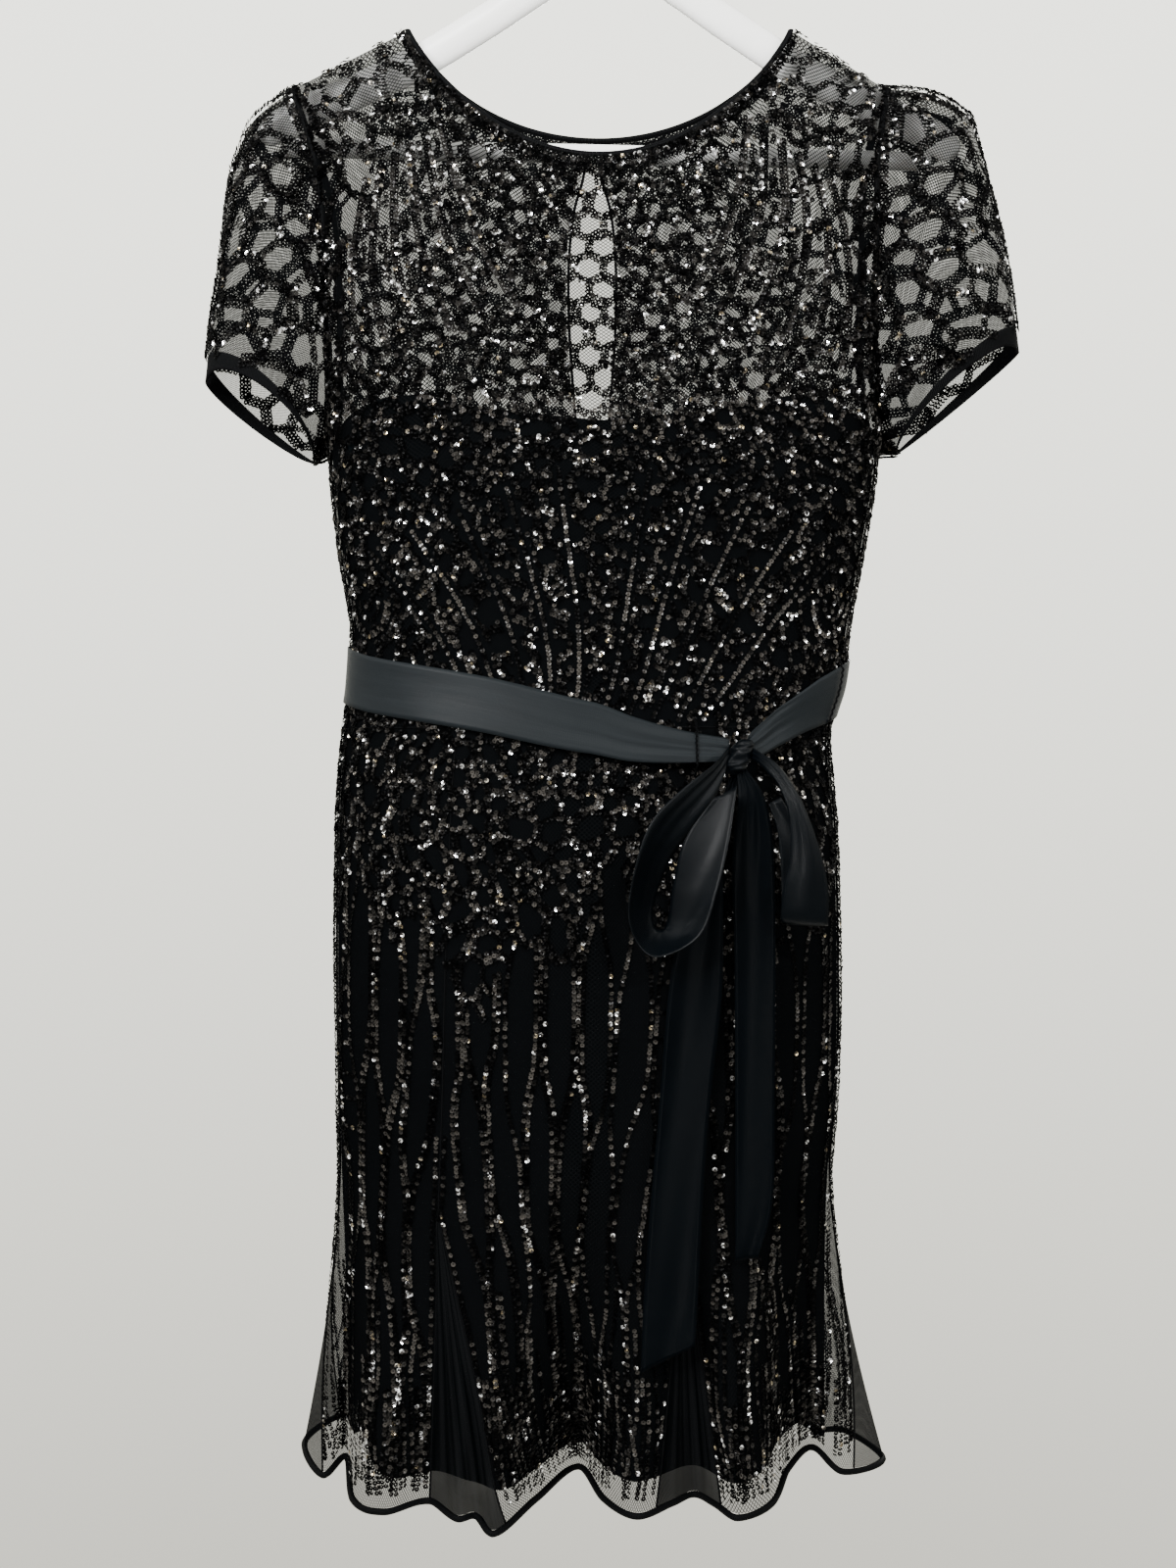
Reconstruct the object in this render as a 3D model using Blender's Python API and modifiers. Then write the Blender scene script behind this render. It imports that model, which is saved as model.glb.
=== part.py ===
"""A sequinned net dress with a ribbon belt, hanging on a plain hanger.

Metres, +Z up. The origin is the inside top of the hanger's hook. The dress faces -Y.
Angles go round the body: 0 at the front, 90 at its right in the view, 180 at the back.
"""
import math

import bmesh
import bpy
from mathutils import Vector

# Walls and seams
NET_WALL = 0.0012
LINING_WALL = 0.0010
SATIN_WALL = 0.0009
SEAM_STOP = 0.00022
LINING_DEPTH = 0.0046
LINING_SEAM_DEPTH = 0.0019
LINING_SEAM_REACH = 0.030
SHARP_EDGE = 50

# The dress on the hanger
DRESS_X = -0.004
ROUNDNESS = 2.4
SHOULDER_ROLL = 0.090
SHOULDER_END_Z = -0.146
NECK_POINT_Z = -0.1085
NECK_LEFT_X = -0.128
NECK_RIGHT_X = 0.1235
NECK_BOW = 0.033
FRONT_NECK_DROP = 0.0905
BACK_NECK_DROP = 0.0605
NECK_CURVE = 0.78
UNDERARM_Z = -0.386
WAIST_Z = -0.565
HEM_Z = -1.030
ARMHOLE_FRONT = 0.034
ARMHOLE_BACK = 0.030
BELOW_UNDERARM = 0.001
BESIDE_ARMHOLE = 89
HEIGHT_STEPS = 14

# Widths and depths of the body: height, left edge, right edge, front depth, back depth
BODY = (
    (-1.040, -0.1700, 0.1460, 0.084, 0.066),
    (-0.914, -0.1696, 0.1460, 0.079, 0.060),
    (-0.856, -0.1709, 0.1472, 0.078, 0.058),
    (-0.792, -0.1722, 0.1523, 0.077, 0.057),
    (-0.728, -0.1734, 0.1536, 0.076, 0.056),
    (-0.632, -0.1728, 0.1517, 0.072, 0.054),
    (-0.600, -0.1715, 0.1491, 0.070, 0.052),
    (-0.565, -0.1683, 0.1472, 0.066, 0.050),
    (-0.536, -0.1645, 0.1555, 0.064, 0.048),
    (-0.498, -0.1632, 0.1600, 0.065, 0.047),
    (-0.446, -0.1715, 0.1696, 0.067, 0.046),
    (-0.386, -0.1773, 0.1780, 0.066, 0.045),
    (-0.344, -0.1754, 0.1734, 0.060, 0.043),
    (-0.288, -0.1760, 0.1722, 0.051, 0.040),
    (-0.240, -0.1773, 0.1734, 0.043, 0.037),
    (-0.200, -0.1835, 0.1745, 0.037, 0.034),
    (-0.146, -0.2016, 0.1843, 0.031, 0.030),
)

# The wavy hem, a row for each crest and trough: angle, across, depth, height
HEM = (
    (-102, -0.178, 0.042, -1.026),
    (-90, -0.195, 0.000, -1.027),
    (-78, -0.176, -0.043, -1.031),
    (-66, -0.163, -0.032, -1.024),
    (-57, -0.152, -0.080, -1.030),
    (-44, -0.131, -0.098, -1.030),
    (-31, -0.105, -0.083, -1.030),
    (-25, -0.087, -0.107, -1.030),
    (-20, -0.076, -0.101, -1.031),
    (-15, -0.064, -0.114, -1.035),
    (-8, -0.041, -0.080, -1.030),
    (-1, -0.0155, -0.040, -1.0265),
    (4, 0.000, -0.080, -1.030),
    (9, 0.019, -0.104, -1.030),
    (14, 0.040, -0.087, -1.030),
    (19, 0.055, -0.0735, -1.030),
    (24, 0.067, -0.088, -1.030),
    (29, 0.0785, -0.106, -1.030),
    (37, 0.101, -0.086, -1.030),
    (46, 0.116, -0.043, -1.027),
    (58, 0.134, -0.018, -1.023),
    (74, 0.151, -0.034, -1.0325),
    (90, 0.1805, -0.004, -1.0365),
    (104, 0.163, 0.033, -1.033),
    (116, 0.143, 0.030, -1.030),
    (130, 0.116, 0.070, -1.031),
    (142, 0.092, 0.054, -1.030),
    (155, 0.064, 0.083, -1.034),
    (168, 0.026, 0.055, -1.030),
    (180, -0.010, 0.074, -1.031),
    (192, -0.046, 0.054, -1.030),
    (205, -0.083, 0.083, -1.034),
    (218, -0.110, 0.056, -1.030),
    (231, -0.137, 0.073, -1.031),
    (245, -0.159, 0.036, -1.028),
)
FOLD_START_Z = -0.840
FOLD_GROWTH = 1.5

# Skirt seams: angle at the waist, at the godet's top and at the hem, and the godet's row and half width
SEAM_WAIST, SEAM_TOP, SEAM_HEM, SEAM_ROW, SEAM_HALF = range(5)
SKIRT_SEAMS = {
    "left": (-90, -90, -90, 9, 12),
    "front_left": (-26, -30, -22, 7, 9),
    "front_right": (20, 18.4, 18.5, 7, 6.7),
    "right": (90, 90, 90, 8, 12),
    "back_right": (155, 155, 155, 7, 9),
    "back_left": (205, 205, 205, 7, 9),
}
SKIRT_ROWS = (0, 0.09, 0.18, 0.28, 0.38, 0.48, 0.57, 0.65, 0.70, 0.75, 0.81, 0.87, 0.935, 1)
GODET_TIP_HALF = 0.4
# Gores: name, seam on the left and on the right, columns
GORES = (
    ("skirt_side_front_left", "left", "front_left", 8),
    ("skirt_centre_front", "front_left", "front_right", 6),
    ("skirt_side_front_right", "front_right", "right", 9),
    ("skirt_side_back_right", "right", "back_right", 7),
    ("skirt_centre_back", "back_right", "back_left", 6),
    ("skirt_side_back_left", "back_left", "left", 7),
)
GODET_COLUMNS = {"left": 6, "front_left": 6, "front_right": 5, "right": 6, "back_right": 6, "back_left": 6}

# Bodice rows up the side, with the underarm at row 4, and columns across
BODICE_ROWS = (0, 0.10, 0.20, 0.31, 0.427, 0.48, 0.56, 0.65, 0.74, 0.83, 0.90, 0.955, 0.985, 1)
UNDERARM_ROW = 4
SHOULDER_COLUMNS = 5
NECK_COLUMNS = 12
NECK_LEFT_ANGLE = -34.2
NECK_RIGHT_ANGLE = 39.4

# The slit down the back: height, half width between the raw edges
SLIT_X = -0.0067
BACK_SLIT = ((-0.425, 0.0002), (-0.400, 0.0060), (-0.370, 0.0110), (-0.330, 0.0145),
             (-0.290, 0.0170), (-0.250, 0.0172), (-0.215, 0.0138), (-0.190, 0.0070), (-0.165, 0.0046))
SLIT_BINDING = 0.0026
SLIT_TOP_GAP = 0.0004
SLIT_STEPS = 9
NECK_BINDING = 0.0052
NECK_CENTRE = (-0.002, 0, -0.115)
NECK_GAP = 0.0013
BINDING_WALL = 0.0014
HEM_ROLL_RADIUS = 0.0019
HEM_ROLL_GAP = 0.0006

# Lining: top line as angle from the front and height, and its hem as a share of the skirt
LINING_FRONT_TOP = ((0, -0.376), (22, -0.367), (42, -0.358), (62, -0.368), (78, -0.384), (90, -0.392))
LINING_BACK_TOP = ((0, -0.432), (40, -0.415), (70, -0.400), (90, -0.392))
LINING_HEM = 0.94
LINING_SKIRT_ROWS = (0, 0.18, 0.38, 0.57, 0.65, 0.75, 0.85, LINING_HEM)
LINING_BODICE_ROWS = (0, 0.2, 0.4, 0.6, 0.8, 1)
LINING_LEAST = 2.0
# The lining's own folds at the shell's hem: angle, across, depth
LINING_FOLDS = (
    (-102, -0.163, 0.016),
    (-90, -0.166, 0.000),
    (-66, -0.151, -0.024),
    (-57, -0.143, -0.060),
    (-44, -0.126, -0.086),
    (-31, -0.103, -0.073),
    (-22, -0.080, -0.088),
    (-13, -0.056, -0.088),
    (-8, -0.040, -0.066),
    (-1, -0.0155, -0.030),
    (4, -0.001, -0.064),
    (9, 0.018, -0.090),
    (19, 0.055, -0.063),
    (29, 0.078, -0.093),
    (37, 0.098, -0.073),
    (46, 0.110, -0.034),
    (58, 0.126, -0.010),
    (74, 0.137, -0.010),
    (90, 0.145, 0.000),
    (104, 0.142, 0.012),
    (116, 0.133, 0.020),
    (130, 0.109, 0.058),
    (142, 0.088, 0.042),
    (155, 0.063, 0.070),
    (168, 0.026, 0.043),
    (180, -0.010, 0.061),
    (192, -0.045, 0.042),
    (205, -0.081, 0.070),
    (218, -0.107, 0.043),
    (231, -0.130, 0.059),
    (245, -0.150, 0.023),
)

# Sleeves: hem points at the top of the arm, under it, at the front and at the back
SLEEVE_HEM = {
    "left": {"over": (-0.2592, 0.000, -0.3366), "under": (-0.1890, 0.000, -0.3905),
             "front": (-0.2114, -0.040, -0.3522), "back": (-0.2378, 0.035, -0.3589)},
    "right": {"over": (0.2707, 0.000, -0.3184), "under": (0.1920, 0.000, -0.3850),
              "front": (0.2219, -0.040, -0.3442), "back": (0.2510, 0.035, -0.3372)},
}
# Line over the arm: share of its length, across, height
SLEEVE_TOP = {
    "left": ((0, -0.2016, -0.1460), (0.151, -0.2270, -0.1655), (0.231, -0.2345, -0.1800),
             (0.339, -0.2419, -0.2019), (0.628, -0.2496, -0.2608), (0.818, -0.2560, -0.2992),
             (1, -0.2592, -0.3366)),
    "right": ((0, 0.1843, -0.1460), (0.146, 0.2150, -0.1500), (0.269, 0.2380, -0.1640),
              (0.319, 0.2425, -0.1760), (0.443, 0.2496, -0.2026), (0.695, 0.2624, -0.2544),
              (0.909, 0.2694, -0.2992), (1, 0.2707, -0.3184)),
}
SLEEVE_ROWS = (0, 0.10, 0.20, 0.30, 0.43, 0.60, 0.77, 0.93)
CUFF_ROWS = (0.93, 1)
SLEEVE_PUFF = 0.010

# Belt, from the knot round by the right: angle, middle height, width, distance off the dress
BELT = (
    (34.5, -0.5800, 0.014, 0.012),
    (38, -0.5745, 0.020, 0.009),
    (44, -0.5640, 0.027, 0.005),
    (59, -0.5490, 0.034, 0.0022),
    (90, -0.5354, 0.036, 0.0020),
    (135, -0.5300, 0.036, 0.0020),
    (180, -0.5275, 0.036, 0.0020),
    (225, -0.5270, 0.036, 0.0020),
    (270, -0.5283, 0.036, 0.0020),
    (300, -0.5370, 0.035, 0.0020),
    (338, -0.5505, 0.034, 0.0022),
    (358.6, -0.5645, 0.032, 0.0030),
    (366.5, -0.5727, 0.028, 0.0045),
    (377, -0.5780, 0.020, 0.0080),
    (387.5, -0.5806, 0.013, 0.0120),
)
BELT_COLUMNS = 66
KNOT_CENTRE = (0.0824, -0.0735, -0.5806)
KNOT_SIZE = (0.0120, 0.0200, 0.0150)
KNOT_GAP = 0.0008
KNOT_ROUNDING = 0.0036
RIBBON_STEPS = 2

# Ribbon lengths of the bow, a row for each section: one edge and the other edge
BOW_LOOP_LEFT = (
    ((0.0760, -0.0790, -0.5780), (0.0760, -0.0770, -0.5845)),
    ((0.0665, -0.0900, -0.5885), (0.0725, -0.0820, -0.5975)),
    ((0.0451, -0.104, -0.6046), (0.0640, -0.088, -0.6130)),
    ((0.0280, -0.114, -0.6218), (0.0550, -0.090, -0.6260)),
    ((0.0188, -0.118, -0.6456), (0.0406, -0.090, -0.6440)),
    ((0.0143, -0.116, -0.6743), (0.0310, -0.088, -0.6690)),
    ((0.0201, -0.111, -0.6929), (0.0320, -0.087, -0.6830)),
    ((0.0351, -0.106, -0.6991), (0.0440, -0.086, -0.6884)),
    ((0.0492, -0.103, -0.6868), (0.0600, -0.086, -0.6800)),
    ((0.0530, -0.100, -0.6610), (0.0660, -0.087, -0.6600)),
    ((0.0577, -0.096, -0.6350), (0.0680, -0.087, -0.6330)),
    ((0.0680, -0.091, -0.6120), (0.0712, -0.086, -0.6100)),
)
BOW_LOOP_RIGHT = (
    ((0.0888, -0.0775, -0.5843), (0.0888, -0.0755, -0.5772)),
    ((0.0925, -0.0890, -0.5880), (0.0950, -0.0860, -0.5815)),
    ((0.0970, -0.097, -0.5935), (0.1023, -0.095, -0.5871)),
    ((0.1026, -0.102, -0.6010), (0.1095, -0.102, -0.5971)),
    ((0.1085, -0.107, -0.6185), (0.1183, -0.107, -0.6144)),
    ((0.1091, -0.107, -0.6433), (0.1272, -0.106, -0.6393)),
    ((0.1055, -0.104, -0.6626), (0.1324, -0.103, -0.6616)),
    ((0.1045, -0.099, -0.6800), (0.1331, -0.098, -0.6817)),
    ((0.1057, -0.092, -0.6790), (0.1336, -0.091, -0.6812)),
    ((0.1062, -0.090, -0.6589), (0.1304, -0.089, -0.6561)),
    ((0.1040, -0.090, -0.6295), (0.1180, -0.089, -0.6295)),
    ((0.0985, -0.089, -0.6120), (0.1060, -0.088, -0.6080)),
)
BOW_TAIL_RIGHT = (
    ((0.0806, -0.0768, -0.5885), (0.0846, -0.0772, -0.5885)),
    ((0.0812, -0.0820, -0.6088), (0.0950, -0.0835, -0.6040)),
    ((0.0785, -0.0820, -0.6313), (0.1010, -0.0830, -0.6260)),
    ((0.0775, -0.0805, -0.6593), (0.1030, -0.0820, -0.6591)),
    ((0.0790, -0.0800, -0.7033), (0.1039, -0.0800, -0.7033)),
    ((0.0796, -0.0790, -0.7961), (0.1034, -0.0790, -0.7961)),
    ((0.0795, -0.0800, -0.8521), (0.1020, -0.0800, -0.8521)),
    ((0.0793, -0.0820, -0.8883), (0.0929, -0.0820, -0.8859)),
)
BOW_TAIL_LEFT = (
    ((0.0802, -0.0700, -0.5885), (0.0842, -0.0705, -0.5885)),
    ((0.0730, -0.0745, -0.6060), (0.0795, -0.0755, -0.6060)),
    ((0.0625, -0.0790, -0.6296), (0.0728, -0.0800, -0.6295)),
    ((0.0445, -0.0795, -0.6950), (0.0720, -0.0795, -0.6949)),
    ((0.0386, -0.0800, -0.7308), (0.0713, -0.0790, -0.7308)),
    ((0.0339, -0.0810, -0.7902), (0.0648, -0.0790, -0.7902)),
    ((0.0285, -0.0840, -0.8491), (0.0599, -0.0820, -0.8491)),
    ((0.0236, -0.0905, -0.9131), (0.0561, -0.0880, -0.9131)),
    ((0.0218, -0.0985, -0.9499), (0.0542, -0.0930, -0.9355)),
)
# Thread loops that hold the belt: angle, top height, bottom height
BELT_CARRIERS = {"belt_carrier_front": (20.5, -0.5600, -0.5960), "belt_carrier_side": (70, -0.5190, -0.5660)}
CARRIER_WIDTH = 0.0016
CARRIER_OFF = 0.0019

# Button at the top of the back slit
BUTTON_RADIUS = 0.0045
BUTTON_THICKNESS = 0.0026
BUTTON_DROP = 0.006
BUTTON_ACROSS = 0.006
BUTTON_OFF = 0.0006
BUTTON_SIDES = 20

# Hanger: middle line of an arm as distance from the middle, height, share of the full section
HANGER_ARM = ((0, -0.0630, 1.0), (0.0220, -0.0675, 1.0), (0.0435, -0.0790, 1.0), (0.0832, -0.1060, 1.0),
              (0.1235, -0.1310, 1.0), (0.1645, -0.1512, 1.0), (0.2061, -0.1702, 1.0),
              (0.2190, -0.1785, 0.85), (0.2265, -0.1855, 0.55))
HANGER_X = 0.0
HANGER_LEAN = 0.0220
ARM_HEIGHT = 0.0225
ARM_THICKNESS = 0.0110
ARM_SIDES = 12
ARM_ROUNDNESS = 0.85
BAR_RADIUS = 0.0060
BAR_Z = -0.1915
BAR_HALF = 0.2094
HOOK_RADIUS = 0.0190
HOOK_WIRE = 0.0030
HOOK_FOOT_Z = -0.0514
HOOK_START_ANGLE = -90
HOOK_TURN = 225
HOOK_POINTS = 22

BLACK_NET = ((0.012, 0.012, 0.013), 0.75, 0.0)
BLACK_LINING = ((0.008, 0.008, 0.009), 0.85, 0.0)
BLACK_SATIN = ((0.014, 0.015, 0.016), 0.32, 0.0)
BLACK_BINDING = ((0.010, 0.010, 0.010), 0.80, 0.0)
BLACK_BUTTON = ((0.010, 0.010, 0.010), 0.25, 0.0)
WHITE_PLASTIC = ((0.85, 0.85, 0.84), 0.28, 0.0)


def smooth_between(table, value, column):
    """A smooth curve through one column of a table whose first column rises."""
    last = len(table) - 1
    if value <= table[0][0]:
        return table[0][column]
    if value >= table[last][0]:
        return table[last][column]
    row = max(i for i in range(last) if table[i][0] <= value)
    start, end = table[row][0], table[row + 1][0]
    step = (value - start) / (end - start)

    def slope(i):
        before, after = table[max(i - 1, 0)], table[min(i + 1, last)]
        return (after[column] - before[column]) / (after[0] - before[0]) * (end - start)

    a, b = table[row][column], table[row + 1][column]
    return (a * (2 * step ** 3 - 3 * step ** 2 + 1) + b * (3 * step ** 2 - 2 * step ** 3)
            + slope(row) * (step ** 3 - 2 * step ** 2 + step) + slope(row + 1) * (step ** 3 - step ** 2))


def closed_round(table):
    """The rows with one turn's neighbours at each end, so that the curve closes."""
    before = [(row[0] - 360,) + row[1:] for row in table[-2:]]
    after = [(row[0] + 360,) + row[1:] for row in table[:3]]
    return tuple(before) + table + tuple(after)


CLOSED_HEM = closed_round(HEM)
CLOSED_LINING = closed_round(LINING_FOLDS)


def turn(angle):
    """The same angle within the hem table's turn."""
    return (angle + 102) % 360 - 102


def shoulder_height(x):
    """Height of the shoulder line, and of its bow across the neck."""
    if NECK_LEFT_X < x < NECK_RIGHT_X:
        middle = (NECK_LEFT_X + NECK_RIGHT_X) / 2
        share = (x - middle) / (NECK_RIGHT_X - middle)
        return NECK_POINT_Z + NECK_BOW * (1 - share * share)
    neck, end = (NECK_LEFT_X, BODY[-1][1]) if x < 0 else (NECK_RIGHT_X, BODY[-1][2])
    share = min(1, (x - neck) / (end - neck))
    return NECK_POINT_Z + share * (SHOULDER_END_Z - NECK_POINT_Z)


def neck_height(x, drop):
    """Height of the neck edge at x, or of the shoulder beyond it."""
    middle = (NECK_LEFT_X + NECK_RIGHT_X) / 2
    share = (x - middle) / (NECK_RIGHT_X - middle)
    if abs(share) >= 1:
        return shoulder_height(x)
    return NECK_POINT_Z - drop * (1 - share * share) ** NECK_CURVE


def armhole_depth(z, full):
    """Half depth of the armhole at a height."""
    share = (z - UNDERARM_Z) / (SHOULDER_END_Z - UNDERARM_Z)
    share = min(1, max(0, share))
    return full * math.sqrt(1 - (1 - 2 * share) ** 2)


def plain_body(angle, z):
    """Point of the body with no folds."""
    left, right, front, back = (smooth_between(BODY, z, column) for column in (1, 2, 3, 4))
    sine, cosine = math.sin(math.radians(angle)), math.cos(math.radians(angle))
    x = (left + right) / 2 + (right - left) / 2 * math.copysign(abs(sine) ** (2 / ROUNDNESS), sine)
    full = front if cosine > 0 else back
    share = abs(cosine) ** (2 / ROUNDNESS)
    if z > UNDERARM_Z:
        below = min(1, max(0, (shoulder_height(x) - z) / SHOULDER_ROLL))
        full *= math.sqrt(1 - (1 - below) ** 2)
        edge = armhole_depth(z, ARMHOLE_FRONT if cosine > 0 else ARMHOLE_BACK)
        depth = edge * (1 - share) + full * share + SEAM_STOP
    else:
        depth = full * share
    return Vector((x, -math.copysign(depth, cosine), z))


def hem_height(angle):
    return smooth_between(CLOSED_HEM, turn(angle), 3)


def fold_growth(z):
    """How much of a hem fold stands at a height."""
    return (max(0, FOLD_START_Z - z) / (FOLD_START_Z - HEM_Z)) ** FOLD_GROWTH


def hem_place(table, angle):
    return Vector([smooth_between(table, turn(angle), column) for column in (1, 2)] + [HEM_Z])


def skirt_point(angle, share):
    """Point of the skirt a share of the way down, with the folds of the hem."""
    z = WAIST_Z + share * (hem_height(angle) - WAIST_Z)
    move = hem_place(CLOSED_HEM, angle) - plain_body(angle, HEM_Z)
    return plain_body(angle, z) + move * fold_growth(z)


def lined_point(angle, z):
    """Point of the lining, inside the body, closest at the waist seam that holds it."""
    away = min(1, abs(z - WAIST_Z) / LINING_SEAM_REACH)
    depth = LINING_SEAM_DEPTH + (LINING_DEPTH - LINING_SEAM_DEPTH) * away
    return plain_body(angle, z) - outward(plain_body, angle, z) * depth


def lining_skirt_point(angle, share):
    z = WAIST_Z + share * (hem_height(angle) - WAIST_Z)
    move = hem_place(CLOSED_LINING, angle) - lined_point(angle, HEM_Z)
    return lined_point(angle, z) + move * fold_growth(z)


def outward(surface_point, angle, height, step=0.6, rise=0.004):
    """Direction out of a surface that is given by an angle and a height."""
    across = surface_point(angle + step, height) - surface_point(angle - step, height)
    up = surface_point(angle, height + rise) - surface_point(angle, height - rise)
    return across.cross(up).normalized()


def body_out(angle, z):
    """Direction out of the body. Beside an armhole it is read on the angle's own side."""
    if z > UNDERARM_Z - BELOW_UNDERARM:
        middle = 0 if math.cos(math.radians(angle)) > 0 else 180
        angle = min(max(angle, middle - BESIDE_ARMHOLE), middle + BESIDE_ARMHOLE)
    return outward(plain_body, angle, z)


def shift(rows):
    """The grid moved to the place where the dress hangs."""
    return [[point + Vector((DRESS_X, 0, 0)) for point in row] for row in rows]


def short_of_seams(rows, sides=True, ends=True):
    """The grid with its border points moved back from the seams."""
    rows = [list(row) for row in rows]
    if sides:
        for row in rows:
            row[0] = row[0] + (row[1] - row[0]).normalized() * SEAM_STOP
            row[-1] = row[-1] + (row[-2] - row[-1]).normalized() * SEAM_STOP
    if ends:
        for edge, inner in ((0, 1), (-1, -2)):
            rows[edge] = [a + (b - a).normalized() * SEAM_STOP for a, b in zip(rows[edge], rows[inner])]
    return rows


def material(name, finish):
    colour, roughness, metallic = finish
    made = bpy.data.materials.new(name)
    made.use_nodes = True
    shader = made.node_tree.nodes["Principled BSDF"]
    shader.inputs["Base Color"].default_value = (*colour, 1)
    shader.inputs["Roughness"].default_value = roughness
    shader.inputs["Metallic"].default_value = metallic
    return made


def add_object(name, mesh, finish):
    made = bpy.data.objects.new(name, mesh)
    made.data.materials.append(material(name, finish))
    collection.objects.link(made)
    return made


def grid_outs(rows, closed):
    """Directions out of a grid, from each point's neighbours."""
    outs = []
    for r, row in enumerate(rows):
        below, above = rows[max(r - 1, 0)], rows[min(r + 1, len(rows) - 1)]
        count = len(row)
        line = []
        for i in range(count):
            before = row[i - 1] if closed or i else row[i]
            after = row[(i + 1) % count] if closed or i < count - 1 else row[i]
            line.append((after - before).cross(above[i] - below[i]).normalized())
        outs.append(line)
    return outs


def cell_halves(rows, r, i, j):
    """A cell's two triangles, cut along its shorter diagonal."""
    a, b, c, d = (r, i), (r, j), (r + 1, j), (r + 1, i)
    falling = (rows[r][j] - rows[r + 1][i]).length < (rows[r][i] - rows[r + 1][j]).length
    return ((a, b, d), (b, c, d)) if falling else ((a, b, c), (a, c, d))


def sheet(name, rows, finish, wall, closed=False, outs=None):
    """One piece of cloth with its wall inside the grid.

    Rows go from its bottom to its top, and points from left to right seen from outside.
    """
    outs = outs or grid_outs(rows, closed)
    shape = bmesh.new()
    outer = [[shape.verts.new(point) for point in row] for row in rows]
    inner = [[shape.verts.new(point - out * wall) for point, out in zip(row, line)]
             for row, line in zip(rows, outs)]
    count = len(rows[0])
    around = range(count if closed else count - 1)
    for r in range(len(rows) - 1):
        for i in around:
            for corners in cell_halves(rows, r, i, (i + 1) % count):
                shape.faces.new([outer[row][column] for row, column in corners])
                shape.faces.new([inner[row][column] for row, column in reversed(corners)])
        if not closed:
            shape.faces.new((outer[r][0], outer[r + 1][0], inner[r + 1][0], inner[r][0]))
            shape.faces.new((outer[r][-1], inner[r][-1], inner[r + 1][-1], outer[r + 1][-1]))
    for i in around:
        j = (i + 1) % count
        shape.faces.new((outer[0][i], inner[0][i], inner[0][j], outer[0][j]))
        shape.faces.new((outer[-1][i], outer[-1][j], inner[-1][j], inner[-1][i]))
    mesh = bpy.data.meshes.new(name)
    shape.to_mesh(mesh)
    shape.free()
    mesh.shade_smooth()
    mesh.set_sharp_from_angle(angle=math.radians(SHARP_EDGE))
    return add_object(name, mesh, finish)


def between(first, last, count):
    return [first + (last - first) * i / count for i in range(count + 1)]


def closer_to_ends(first, last, count):
    """Steps from first to last that are smaller near both."""
    return [first + (last - first) * (1 - math.cos(math.pi * i / count)) / 2 for i in range(count + 1)]


def front_angles():
    return (between(-90, NECK_LEFT_ANGLE, SHOULDER_COLUMNS)
            + closer_to_ends(NECK_LEFT_ANGLE, NECK_RIGHT_ANGLE, NECK_COLUMNS)[1:]
            + between(NECK_RIGHT_ANGLE, 90, SHOULDER_COLUMNS)[1:])


def top_height(angle, drop):
    """Height where a column of the bodice meets the neck edge or the shoulder."""
    z = SHOULDER_END_Z
    for _ in range(HEIGHT_STEPS):
        z = neck_height(plain_body(angle, z).x, drop)
    return z


def bodice_column(angle, drop):
    top = top_height(angle, drop)
    return [plain_body(angle, WAIST_Z + share * (top - WAIST_Z)) for share in BODICE_ROWS]


def column_outs(angle, points):
    """Directions out along a column, straight up where the column ends on the shoulder."""
    outs = [body_out(angle, point.z) for point in points]
    if points[-1].x < NECK_LEFT_X + 0.001 or points[-1].x > NECK_RIGHT_X - 0.001:
        outs[-1] = Vector((outs[-1].x, 0, outs[-1].z)).normalized()
    return outs


def turn_grid(columns):
    return [list(row) for row in zip(*columns)]


def edge_column(angle, side_back):
    """The bodice's edge at the side seam and the armhole, on the front or on the back."""
    points = []
    full = ARMHOLE_BACK if side_back else ARMHOLE_FRONT
    for share in BODICE_ROWS:
        z = WAIST_Z + share * (SHOULDER_END_Z - WAIST_Z)
        point = plain_body(angle, z)
        depth = SEAM_STOP + armhole_depth(z, full) if z > UNDERARM_Z else 0
        point.y = depth if side_back else -depth
        points.append(point)
    return points


def bodice_front():
    angles = front_angles()
    columns = [bodice_column(angle, FRONT_NECK_DROP) for angle in angles]
    columns[0] = edge_column(-90, False)
    columns[-1] = edge_column(90, False)
    outs = [column_outs(angle, column) for angle, column in zip(angles, columns)]
    rows = short_of_seams(turn_grid(columns))
    sheet("bodice_front", shift(rows), BLACK_NET, NET_WALL, outs=turn_grid(outs))


def slit_point(z, side):
    """Point on the raw edge of the back slit, or on the centre back seam below it."""
    half = smooth_between(BACK_SLIT, z, 1) if z > BACK_SLIT[0][0] else BACK_SLIT[0][1]
    x = SLIT_X + side * half
    left, right = smooth_between(BODY, z, 1), smooth_between(BODY, z, 2)
    share = (x - (left + right) / 2) / ((right - left) / 2)
    lean = math.degrees(math.asin(min(1, abs(share)) ** (ROUNDNESS / 2)))
    return plain_body(180 - math.copysign(lean, share), z)


def slit_angle(z, side):
    point = slit_point(z, side)
    left, right = smooth_between(BODY, z, 1), smooth_between(BODY, z, 2)
    share = (point.x - (left + right) / 2) / ((right - left) / 2)
    return 180 - math.copysign(math.degrees(math.asin(abs(share) ** (ROUNDNESS / 2))), share)


def back_angle(side, column, z):
    """Angle of one of the columns between the neck point and the slit."""
    neck = 180 - NECK_RIGHT_ANGLE if side > 0 else 180 - NECK_LEFT_ANGLE
    share = 1 - math.cos(math.pi * column / NECK_COLUMNS)
    return neck + (slit_angle(z, side) - neck) * share


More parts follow.
